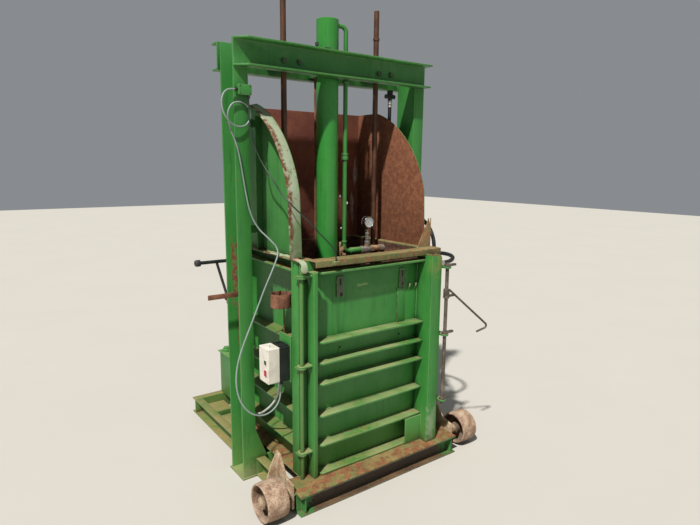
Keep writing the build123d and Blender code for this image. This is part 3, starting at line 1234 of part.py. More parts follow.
with BuildPart() as electric_motor:
    with BuildSketch(Plane.YZ.offset(MOTOR_X[0] + 40)):
        with Locations((MOTOR_Y, MOTOR_Z)):
            Circle(MOTOR_R - MOTOR_FIN_DEPTH)
            with PolarLocations(MOTOR_R - MOTOR_FIN_DEPTH, MOTOR_FIN_COUNT):
                Rectangle(2 * MOTOR_FIN_DEPTH, 4)
    extrude(amount=MOTOR_X[1] - MOTOR_X[0] - 50)
    round_bar(MOTOR_R, (MOTOR_X[0], MOTOR_Y, MOTOR_Z), 46, direction=(1, 0, 0))
    round_bar(MOTOR_R, (MOTOR_X[1] - 10, MOTOR_Y, MOTOR_Z), 10, direction=(1, 0, 0))
    for x in (MOTOR_X[0] + 60, MOTOR_X[1] - 60):
        block((x, x + 34), (MOTOR_Y - 70, MOTOR_Y + 70), (TANK_TOP, TANK_TOP + MOTOR_FEET / 2))
        block((x, x + 34), (MOTOR_Y - 40, MOTOR_Y + 40), (TANK_TOP, MOTOR_Z - MOTOR_R / 2))
    block(
        (MOTOR_X[0] + 90, MOTOR_X[0] + 170), (MOTOR_Y - 45, MOTOR_Y + 45),
        (MOTOR_Z + MOTOR_R - 20, MOTOR_Z + MOTOR_R + 40),
    )
    round_bar(9, (MOTOR_X[0] + 130, MOTOR_Y - 45, MOTOR_Z + MOTOR_R + 18), 20, direction=(0, -1, 0))
save(electric_motor, "electric_motor")

with BuildPart() as hydraulic_pump:
    round_bar(MOTOR_R - 14, (MOTOR_X[1], MOTOR_Y, MOTOR_Z), BELL_LENGTH, direction=(1, 0, 0))
    round_bar(PUMP_R, (MOTOR_X[1] + BELL_LENGTH, MOTOR_Y, MOTOR_Z), PUMP_LENGTH - 30, direction=(1, 0, 0))
    block(
        (MOTOR_X[1] + BELL_LENGTH + 10, MOTOR_X[1] + BELL_LENGTH + 60), (MOTOR_Y - 50, MOTOR_Y + 50),
        (MOTOR_Z - 30, MOTOR_Z + 30),
    )
    round_bar(PORT_R, (MOTOR_X[1] + BELL_LENGTH + 36, MOTOR_Y, MOTOR_Z), PUMP_R + PORT_LENGTH)
save(hydraulic_pump, "hydraulic_pump")

# Control valve: a block on the corner post with ports for the two hoses
VALVE_MID = (CORNER_OUT + VALVE_PORT_OUT, (VALVE_Y[0] + VALVE_Y[1]) / 2)
VALVE_MID_Z = (VALVE_LOW + VALVE_TOP) / 2
with BuildPart() as control_valve:
    block((CORNER_OUT, CORNER_OUT + VALVE_SIZE), VALVE_Y, (VALVE_LOW, VALVE_TOP))
    fillet(control_valve.edges().filter_by(Axis.Z), 5)
    hexagon_bar(PORT_R + 3, (VALVE_MID[0], VALVE_MID[1], VALVE_TOP), PORT_LENGTH)
    hexagon_bar(
        PORT_R + 3, (CORNER_OUT + VALVE_SIZE, VALVE_MID[1], VALVE_MID_Z), PORT_LENGTH, direction=(1, 0, 0),
    )
    round_bar(
        PORT_R - 3, (VALVE_MID[0] - 14, VALVE_MID[1], VALVE_LOW), VALVE_STEM_DROP,
        direction=(0, 0, -1),
    )
    round_bar(
        PIPE_R + 4, (CORNER_OUT + 2, PIPE_Y, MANIFOLD_Z), 30, direction=(1, 0, 0),
    )
    block((CORNER_OUT, CORNER_OUT + 12), (VALVE_Y[1] - 10, PIPE_Y + 14), (MANIFOLD_Z - 50, MANIFOLD_Z - 20))
    block((CORNER_OUT + 2, CORNER_OUT + 26), (PIPE_Y - 14, PIPE_Y + 14), (MANIFOLD_Z - 50, MANIFOLD_Z))
save(control_valve, "control_valve")

# Hoses and cables, each a plain tube along a route chosen by hand
PUMP_PORT = (MOTOR_X[1] + BELL_LENGTH + 36, MOTOR_Y, MOTOR_Z + PUMP_R + PORT_LENGTH)
cord(
    "rear_hose",
    (
        (FITTING_X, FITTING_Y, BEAM_LOW - FITTING_DROP), (FITTING_X, FITTING_Y, 1960),
        (498, 108, 1865), (495, 108, 1770), (490, 107, 1672), (487, 98, 1585), (485, 74, 1514),
        (484, 30, 1457), (484, -34, 1412), (484, -106, 1386), (485, -180, 1370), (485, -244, 1343),
        (VALVE_MID[0], -291, 1304), (VALVE_MID[0], -319, 1258), (VALVE_MID[0], VALVE_MID[1], 1210),
        (VALVE_MID[0], VALVE_MID[1], VALVE_TOP + PORT_LENGTH),
    ),
    REAR_HOSE_R,
)
cord(
    "valve_hose",
    (
        (CORNER_OUT + VALVE_SIZE + PORT_LENGTH, VALVE_MID[1], VALVE_MID_Z),
        (592, VALVE_MID[1], VALVE_MID_Z), (660, -315, 1106), (714, -268, 1114), (738, -198, 1119),
        (740, -112, 1114), (726, -16, 1096), (702, 88, 1060), (676, 196, 1012), (640, 302, 962),
        (586, 400, 912), (510, 492, 864), (424, 574, 824), (336, 640, 794), (252, 688, 770),
        (174, 720, 742), (126, MOTOR_Y, 686), (PUMP_PORT[0], MOTOR_Y, 620), PUMP_PORT,
    ),
    VALVE_HOSE_R,
)
cord(
    "control_cable",
    (
        (GLAND_SPOTS[0][0], GLAND_SPOTS[0][1], CONTROL_LOW - GLAND_LENGTH),
        (GLAND_SPOTS[0][0], GLAND_SPOTS[0][1], 512), (-506, -256, 454), (-572, -260, 428),
        (-642, -256, 450), (-692, -246, 515), (-710, -232, 600), (-700, -222, 690),
        (-668, -213, 775), (-624, -207, 862), (-578, -205, 960), (-532, -204, 1062),
        (-480, -202, 1160), (-434, -180, 1238), (-474, -138, 1296), (-512, -104, 1340),
        (-545, -86, 1415), (-566, -84, 1525), (-583, -84, 1640), (-603, -84, 1745),
        (-638, -84, 1820), (-652, -84, 1888), (-619.5, -84, 1944), (-554.5, -84, 1944),
        (-522, -84, 1888), (-554.5, -87, 1832), (-619.5, -98, 1828), (-668, -108, 1866),
        (-684, -106, 1910), (-682, -100, 1952), (-664, -93, 1985),
        (-636, -HALF_POST - 15, JUNCTION_MID), (JUNCTION_X[0] - 10, -HALF_POST - 15, JUNCTION_MID),
    ),
    CONTROL_CABLE_R,
)
cord(
    "rim_cable",
    (
        (JUNCTION_X[1] - 14, -HALF_POST - 22, JUNCTION_Z[0] - 10),
        (JUNCTION_X[1] - 14, -HALF_POST - 22, 1905), (-546, -110, 1816),
        (-530, -130, 1723), (-508, -166, 1648), (-488, -232, 1578), (-494, -304, 1524),
        (-470, -362, 1472), (-410, -380, 1414), (-358, -402, 1352), (-308, -424, 1296),
        (CLIP_X, -RIM_FRONT - CLIP_DEPTH / 2, 1250),
        (CLIP_X, -RIM_FRONT - CLIP_DEPTH / 2, RIM_UNDER),
    ),
    RIM_CABLE_R,
)
cord(
    "motor_cable",
    (
        (GLAND_SPOTS[1][0], GLAND_SPOTS[1][1], CONTROL_LOW - GLAND_LENGTH),
        (GLAND_SPOTS[1][0], GLAND_SPOTS[1][1], 510), (-492, -198, 450), (-512, -150, 398),
        (-510, -80, 352), (-500, 4, 318), (-484, 96, 298), (-470, 190, 290), (-468, 290, 290),
        (-458, 390, 298), (-400, 452, 336), (-322, 482, 400), (-240, 510, 476), (-162, 544, 546),
        (MOTOR_X[0] + 130, 604, MOTOR_Z + MOTOR_R + 18),
        (MOTOR_X[0] + 130, MOTOR_Y - 65, MOTOR_Z + MOTOR_R + 18),
    ),
    MOTOR_CABLE_R,
)
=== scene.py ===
import math

import bmesh
import bpy
from bpy.props import FloatProperty, FloatVectorProperty, PointerProperty
from bpy.types import Operator, Panel, PropertyGroup
from mathutils import Matrix, Vector, noise


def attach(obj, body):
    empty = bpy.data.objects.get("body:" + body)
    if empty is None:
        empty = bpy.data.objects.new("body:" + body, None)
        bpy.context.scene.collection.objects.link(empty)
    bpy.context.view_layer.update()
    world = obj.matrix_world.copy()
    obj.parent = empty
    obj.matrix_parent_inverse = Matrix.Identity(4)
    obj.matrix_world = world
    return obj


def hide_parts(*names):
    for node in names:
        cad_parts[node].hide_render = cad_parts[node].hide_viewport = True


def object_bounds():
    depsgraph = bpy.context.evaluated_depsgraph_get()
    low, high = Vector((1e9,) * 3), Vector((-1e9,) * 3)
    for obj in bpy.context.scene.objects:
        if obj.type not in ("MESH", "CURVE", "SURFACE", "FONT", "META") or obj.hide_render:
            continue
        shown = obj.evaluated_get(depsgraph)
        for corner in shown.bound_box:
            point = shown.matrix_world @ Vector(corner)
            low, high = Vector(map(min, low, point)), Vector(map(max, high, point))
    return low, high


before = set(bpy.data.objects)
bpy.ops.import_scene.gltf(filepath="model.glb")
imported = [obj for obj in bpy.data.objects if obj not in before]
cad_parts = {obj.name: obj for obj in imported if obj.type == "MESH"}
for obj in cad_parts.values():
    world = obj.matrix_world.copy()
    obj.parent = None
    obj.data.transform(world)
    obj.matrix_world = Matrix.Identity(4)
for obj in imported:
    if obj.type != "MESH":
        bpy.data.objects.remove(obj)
CAD_BOX = [list(corner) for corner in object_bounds()]

# Bends, weld ripples and caked rust all read this one seeded noise, so each run gives the same shapes
NOISE_SEED = 11
noise.seed_set(NOISE_SEED)

bl_info = {
    "name": "Wool press",
    "version": (1, 0, 0),
    "blender": (4, 5, 0),
    "location": "3D View > Sidebar > Wool press",
    "description": "Finishes a weathered hydraulic wool press: enamel, rust, hoses, cables and fittings",
    "category": "Object",
}

MM = 0.001


def linear(hex_colour):
    """Turn an sRGB hex colour into the linear red, green, blue and alpha that a shader takes."""
    channels = [int(hex_colour[place:place + 2], 16) / 255 for place in (1, 3, 5)]
    return tuple(
        value / 12.92 if value <= 0.04045 else ((value + 0.055) / 1.055) ** 2.4 for value in channels
    ) + (1.0,)


def colour_setting(title, help_text, hex_colour):
    """A colour that a user may change, with its default as a hex value."""
    return FloatVectorProperty(
        name=title, description=help_text, default=linear(hex_colour),
        subtype="COLOR", size=4, min=0, max=1,
    )


def length_setting(title, help_text, millimetres, most=None):
    """A length that a user may change, with its default in millimetres and its most in metres."""
    limits = {} if most is None else {"max": most}
    return FloatProperty(
        name=title, description=help_text, default=millimetres * MM, min=0, unit="LENGTH", **limits,
    )


class WoolPressPaint(PropertyGroup):
    """Colours and wear of the painted steel."""

    enamel: colour_setting("Enamel", "Brushed-on green enamel where it is sound", "#2c752c")
    enamel_faded: colour_setting("Faded enamel", "The enamel where sun and rain have chalked it", "#4a8c42")
    # This colour lays both the grime run down standing faces and the painted shade in corners
    enamel_dark: colour_setting("Grimy enamel", "Oil and wool grease held in corners", "#12301a")
    undercoat: colour_setting("Worn edge", "Pale layer that shows where edges have rubbed", "#93a878")
    edge_width: length_setting("Edge wear", "How far wear reaches in from an edge", 7, 0.05)
    arris: length_setting("Eased edge", "Width of the eased edge on rolled and flame-cut steel", 1.2, 0.01)


class WoolPressCords(PropertyGroup):
    """Diameters of the hoses and cables."""

    rear_hose: length_setting("Rear hose", "Outside diameter", 22)
    valve_hose: length_setting("Valve hose", "Outside diameter", 24)
    control_cable: length_setting("Control cable", "Outside diameter", 8)
    rim_cable: length_setting("Rim cable", "Outside diameter", 7)
    motor_cable: length_setting("Motor cable", "Outside diameter", 11)


class WoolPressStage(PropertyGroup):
    """Floor and light around the press."""

    floor: colour_setting("Floor", "Plain pale floor", "#b9b3a8")
    floor_size: FloatProperty(
        name="Floor size", description="Side of the floor", default=40, min=1, unit="LENGTH",
    )
    key: FloatProperty(name="Key light", description="Strength of the main light", default=5, min=0)
    fill: FloatProperty(name="Fill light", description="Strength of light from all round", default=0.3, min=0)


SETTINGS = {
    "wool_press_paint": WoolPressPaint,
    "wool_press_cords": WoolPressCords,
    "wool_press_stage": WoolPressStage,
}

# Materials


def add_node(tree, kind, inputs=None, **settings):
    """Add one shader node, with its settings, its fixed values and its links."""
    node = tree.nodes.new(kind)
    for name, value in settings.items():
        setattr(node, name, value)
    for key, value in (inputs or {}).items():
        if isinstance(value, bpy.types.NodeSocket):
            tree.links.new(value, node.inputs[key])
        else:
            node.inputs[key].default_value = value
    return node


def start_material(name):
    """Begin a material: its node tree and its object coordinates."""
    material = bpy.data.materials.new(name)
    material.use_nodes = True
    tree = material.node_tree
    tree.nodes.clear()
    place = add_node(tree, "ShaderNodeTexCoord").outputs["Object"]
    return material, tree, place


# Each cloud pattern is read from a place of its own, this far from the one before it
PATTERN_SHIFT = (3.1, 1.7, 0.9)
CLOUD_DETAIL = 7.0
CLOUD_ROUGHNESS = 0.64


def cloud_masks(tree, place, patterns):
    """Cloudy masks from 0 to 1, each given by its grain in millimetres, its stretch upwards, and the cloud
    values where the mask starts and is full."""
    masks = {}
    for count, (label, (grain, stretch, low, high)) in enumerate(patterns.items()):
        scale = 1000 / grain
        shifted = add_node(tree, "ShaderNodeMapping", {
            "Vector": place, "Location": [step * count for step in PATTERN_SHIFT],
            "Scale": (scale, scale, scale / stretch),
        })
        cloud = add_node(tree, "ShaderNodeTexNoise", {
            "Vector": shifted.outputs[0], "Scale": 1.0, "Detail": CLOUD_DETAIL, "Roughness": CLOUD_ROUGHNESS,
        })
        masks[label] = add_node(
            tree, "ShaderNodeMapRange", {"Value": cloud.outputs["Fac"], "From Min": low, "From Max": high},
        ).outputs["Result"]
    return masks


def overlap(tree, *values):
    """The share left where several masks lie over each other, or where a mask is only so strong."""
    product = values[0]
    for value in values[1:]:
        product = add_node(tree, "ShaderNodeMath", {0: product, 1: value}, operation="MULTIPLY").outputs[0]
    return product


def layered(tree, ground, layers):
    """Lay colours over a ground colour, each through its own mask."""
    for mask, colour in layers:
        ground = add_node(
            tree, "ShaderNodeMix", {0: mask, 6: ground, 7: colour}, data_type="RGBA", clamp_factor=True,
        ).outputs[2]
    return ground


RELIEF_STRENGTH = 0.8


def finish_material(material, tree, colour, roughness, height, depth, **constants):
    """Join colour, roughness and relief to the shader, with the values that are the same all over."""
    relief = add_node(
        tree, "ShaderNodeBump", {"Height": height, "Distance": depth, "Strength": RELIEF_STRENGTH},
    )
    inputs = {"Base Color": colour, "Roughness": roughness, "Normal": relief.outputs[0]}
    inputs.update({key.replace("_", " "): value for key, value in constants.items()})
    shader = add_node(tree, "ShaderNodeBsdfPrincipled", inputs)
    add_node(tree, "ShaderNodeOutputMaterial", {"Surface": shader.outputs[0]})
    return material


def edge_mask(tree, surface, radius):
    """Where a surface turns sharply, within radius of the edge."""
    rounded = add_node(tree, "ShaderNodeBevel", {"Radius": radius}, samples=4).outputs[0]
    likeness = add_node(
        tree, "ShaderNodeVectorMath", {0: rounded, 1: surface["Normal"]}, operation="DOT_PRODUCT",
    ).outputs["Value"]
    return add_node(
        tree, "ShaderNodeMapRange", {"Value": likeness, "From Min": 0.99, "From Max": 0.80},
    ).outputs["Result"]


# A mark fades between these shares of its own half size, and the grain moves its border by this much
MARK_END, MARK_FULL, MARK_RAGGEDNESS = 1.55, 0.85, 1.1


def local_mask(tree, place, centre, half, grain):
    """A mask round one place on a piece, given in millimetres, whose border a grain breaks up."""
    away = add_node(
        tree, "ShaderNodeVectorMath", {0: place, 1: [value * MM for value in centre]}, operation="SUBTRACT",
    ).outputs[0]
    share = add_node(
        tree, "ShaderNodeVectorMath", {0: away, 1: [value * MM for value in half]}, operation="DIVIDE",
    ).outputs[0]
    parts = add_node(
        tree, "ShaderNodeSeparateXYZ",
        {0: add_node(tree, "ShaderNodeVectorMath", {0: share}, operation="ABSOLUTE").outputs[0]},
    ).outputs
    widest = parts[0]
    for part in (parts[1], parts[2]):
        widest = add_node(tree, "ShaderNodeMath", {0: widest, 1: part}, operation="MAXIMUM").outputs[0]
    ragged = add_node(
        tree, "ShaderNodeMath", {0: widest, 1: overlap(tree, grain, MARK_RAGGEDNESS)}, operation="ADD",
    ).outputs[0]
    return add_node(
        tree, "ShaderNodeMapRange", {"Value": ragged, "From Min": MARK_END, "From Max": MARK_FULL},
    ).outputs["Result"]


RUST_TONES = ("#4a2a1c", "#7c4429", "#a5754e")
DUST_TONE = "#8f9468"
MATT_ROUGHNESS = 0.88
ENAMEL_RELIEF = 0.7 * MM
# Rain splashes dust up to this height above the floor, in metres
SPLASH_HEIGHT = 0.34


def enamelled_steel(
    name, paint, sound, faded=None, rust=0.02, tones=RUST_TONES, blot=38, wear=0.5, dust=0.5,
    dust_tone=DUST_TONE, gloss=0.48, corner_shade=0.8, shade_reach=50, bare_inside=None, marks=(),
):
    """Mild steel under brushed alkyd enamel: satin where sound, chalky patches, pale rubbed edges, rust
    that starts at chips, dust on what faces up, dirt run down what stands, and corners darkened as painted
    shade. Rust, wear and dust are strengths from 0 to 1, and so is the strength of the painted shade in
    corners; blot is the rust's patch in millimetres, and the painted shade's reach out of a corner is in
    millimetres. Faces that look along the bare_inside axis, 0 or 1, towards the middle of the press are
    worn bare and rusty. Marks are local stains, each a colour or "rust", a centre, half its size and a
    strength."""
    material, tree, place = start_material(name)
    surface = add_node(tree, "ShaderNodeNewGeometry").outputs
    start = 0.70 - 0.36 * rust
    masks = cloud_masks(tree, place, {
        "patch": (260, 1.6, 0.38, 0.66),  # sun-bleached areas a hand's span across
        "chalk": (70, 2.2, 0.50, 0.72),  # chalking, down the sheet as rain runs
        "rust": (blot, 1.2, start, start + 0.03),  # blots with a hard border
        "rust_grain": (7, 1.0, 0.36, 0.64),  # coarser than real rust grit, so that it shows
        "chips": (11, 1.0, 0.655, 0.69),  # chips down to the undercoat
        "runs": (20, 16.0, 0.55, 0.76),  # grime run down in streaks a finger wide
        "specks": (3.5, 1.0, 0.30, 0.70),  # breaks up the rubbed edges
        "brush": (4.5, 9.0, 0.25, 0.75),  # brush marks, coarser than real bristles, so that they show
        "mottle": (24, 1.0, 0.42, 0.66),  # dust and pale rust in thumbprint patches
    })
    facing = add_node(tree, "ShaderNodeSeparateXYZ", {0: surface["Normal"]}).outputs
    spot = add_node(tree, "ShaderNodeSeparateXYZ", {0: place}).outputs
    upward = add_node(
        tree, "ShaderNodeMapRange", {"Value": facing[2], "From Min": 0.45, "From Max": 0.9},
    ).outputs[0]
    standing = add_node(
        tree, "ShaderNodeMapRange", {"Value": upward, "From Min": 1.0, "From Max": 0.0},
    ).outputs[0]
    low_down = add_node(
        tree, "ShaderNodeMapRange", {"Value": spot[2], "From Min": SPLASH_HEIGHT, "From Max": 0.0},
    ).outputs[0]
    edge = edge_mask(tree, surface, paint.edge_width)
    # Ambient occlusion finds the corners, which are darkened below as painted shade
    corner = add_node(tree, "ShaderNodeAmbientOcclusion", {"Distance": shade_reach * MM}, samples=4).outputs["AO"]
    painted_corner_shade = add_node(
        tree, "ShaderNodeMapRange", {"Value": corner, "From Min": 0.66, "From Max": 0.25},
    ).outputs[0]
    rubbed = add_node(tree, "ShaderNodeMapRange", {
        "Value": overlap(tree, edge, masks["specks"]),
        "From Min": 0.40 - 0.22 * wear, "From Max": 0.52 - 0.16 * wear,
    }).outputs[0]
    rust_dark, rust_mid, rust_pale = (linear(tone) for tone in tones)
    rust_colour = layered(tree, rust_mid, [
        (overlap(tree, masks["rust_grain"], 0.8), rust_dark),
        (overlap(tree, masks["mottle"], 0.5), rust_pale),
    ])
    rusted = masks["rust"]
    if bare_inside is not None:
        # A face's direction times its place is below zero where it looks back to the middle
        towards = overlap(tree, facing[bare_inside], spot[bare_inside])
        inside = add_node(
            tree, "ShaderNodeMapRange", {"Value": towards, "From Min": -0.1, "From Max": -0.27},
        ).outputs[0]
        rusted = add_node(tree, "ShaderNodeMath", {0: rusted, 1: inside}, operation="MAXIMUM").outputs[0]
    stains = []
    for tone, centre, half, strength in marks:
        mark = overlap(tree, local_mask(tree, place, centre, half, masks["mottle"]), strength)
        if tone == "rust":
            rusted = add_node(tree, "ShaderNodeMath", {0: rusted, 1: mark}, operation="MAXIMUM").outputs[0]
        else:
            stains.append((mark, linear(tone)))
    colour = layered(tree, sound, [
        (overlap(tree, masks["patch"], 0.5), faded or paint.enamel_faded),
        (overlap(tree, masks["runs"], standing, 0.5), paint.enamel_dark),
        # Painted shade: corners darkened with the same dark colour as the streaks
        (overlap(tree, painted_corner_shade, corner_shade), paint.enamel_dark),
        (overlap(tree, rubbed, wear), paint.undercoat),
        (overlap(tree, masks["chips"], 0.6 * wear), paint.undercoat),
        (overlap(tree, upward, masks["patch"], dust), linear(dust_tone)),
        (overlap(tree, upward, masks["mottle"], 0.5 * dust), rust_pale),
        (overlap(tree, low_down, masks["rust_grain"], 0.3), rust_pale),
        *stains,
        (rusted, rust_colour),
    ])
    matt = add_node(
        tree, "ShaderNodeMath", {0: rusted, 1: overlap(tree, masks["chalk"], 0.5)}, operation="MAXIMUM",
    ).outputs[0]
    roughness = add_node(
        tree, "ShaderNodeMapRange", {"Value": matt, "To Min": gloss, "To Max": MATT_ROUGHNESS},
    ).outputs[0]
    height = add_node(
        tree, "ShaderNodeMix", {0: rusted, 2: overlap(tree, masks["brush"], 0.18), 3: masks["rust_grain"]},
        data_type="FLOAT",
    ).outputs[0]
    return finish_material(material, tree, colour, roughness, height, ENAMEL_RELIEF)


RUSTY_EDGE = 5 * MM
# How far the painted shade in hollows reaches
HOLLOW_SHADE_REACH = 60 * MM


def rusted_steel(
    name, tones, grain=6.0, patch=90.0, roughness=0.85, metallic=0.0, depth=0.9, streak=0.6, shade_hollows=False,
):
    """Bare steel gone to rust: three tones in patches a few centimetres across, with a sandy tooth, and
    its hollows darkened as painted shade where asked. Grain, patch and depth are in millimetres."""
    material, tree, place = start_material(name)
    surface = add_node(tree, "ShaderNodeNewGeometry").outputs
    masks = cloud_masks(tree, place, {
        "patch": (patch, 1.0, 0.40, 0.62), "grain": (grain, 1.0, 0.36, 0.66),
        "fleck": (grain * 2.5, 1.0, 0.56, 0.68), "runs": (26, 8.0, 0.50, 0.74),
    })
    dark, mid, pale = (linear(tone) for tone in tones)
    edge = edge_mask(tree, surface, RUSTY_EDGE)
    colour = layered(tree, mid, [
        (masks["patch"], pale),
        (overlap(tree, masks["runs"], streak), dark),
        (overlap(tree, masks["fleck"], 0.8), pale),
        (overlap(tree, masks["grain"], 0.55), dark),
        (overlap(tree, edge, 0.35), pale),
    ])
    # Ambient occlusion darkens the hollows as painted shade
    if shade_hollows:
        corner = add_node(
            tree, "ShaderNodeAmbientOcclusion", {"Distance": HOLLOW_SHADE_REACH}, samples=4,
        ).outputs["AO"]
        painted_corner_shade = add_node(
            tree, "ShaderNodeMapRange", {"Value": corner, "From Min": 0.8, "From Max": 0.4},
        ).outputs[0]
        colour = layered(tree, colour, [(overlap(tree, painted_corner_shade, 0.9), linear("#2a1b14"))])
    rough = add_node(
        tree, "ShaderNodeMapRange",
        {"Value": masks["grain"], "To Min": max(0.0, roughness - 0.15), "To Max": min(1.0, roughness + 0.1)},
    ).outputs[0]
    return finish_material(material, tree, colour, rough, masks["grain"], depth * MM, Metallic=metallic)


# How much rougher a plain finish is where it is soiled
SOILED_SPREAD = 0.12


def plain_finish(name, tones, roughness, grain, depth, **constants):
    """A moulded, plated or extruded surface: two close tones, slight soiling and a fine tooth. Grain and
    depth are in millimetres, and the grain is drawn coarse enough to show."""
    material, tree, place = start_material(name)
    masks = cloud_masks(tree, place, {
        "soil": (55, 1.4, 0.46, 0.74), "tooth": (grain, 1.0, 0.30, 0.70), "fleck": (9, 1.0, 0.60, 0.70),
    })
    clean, soiled = (linear(tone) for tone in tones)
    colour = layered(tree, clean, [
        (overlap(tree, masks["soil"], 0.6), soiled), (overlap(tree, masks["fleck"], 0.35), soiled),
    ])
    rough = add_node(tree, "ShaderNodeMapRange", {
        "Value": masks["soil"], "To Min": roughness, "To Max": roughness + SOILED_SPREAD,
    }).outputs[0]
    return finish_material(material, tree, colour, rough, masks["tooth"], depth * MM, **constants)


def glass_finish(name):
    """Float glass over the gauge's dial: clear, with the faint green of its edge."""
    material, tree, place = start_material(name)
    haze = cloud_masks(tree, place, {"haze": (18, 1.0, 0.45, 0.75)})["haze"]
    rough = add_node(tree, "ShaderNodeMapRange", {"Value": haze, "To Min": 0.02, "To Max": 0.18}).outputs[0]
    shader = add_node(tree, "ShaderNodeBsdfPrincipled", {
        "Base Color": linear("#eef4f0"), "Roughness": rough, "IOR": 1.5, "Alpha": 0.22,
    })
    add_node(tree, "ShaderNodeOutputMaterial", {"Surface": shader.outputs[0]})
    return material


# The chamber's walls: their bare rust, dark, middle and pale, and the dirt on their ribs
CHAMBER_RUST = ("#35211a", "#593728", "#86603f")
CHAMBER_DIRT = "#7c6a48"


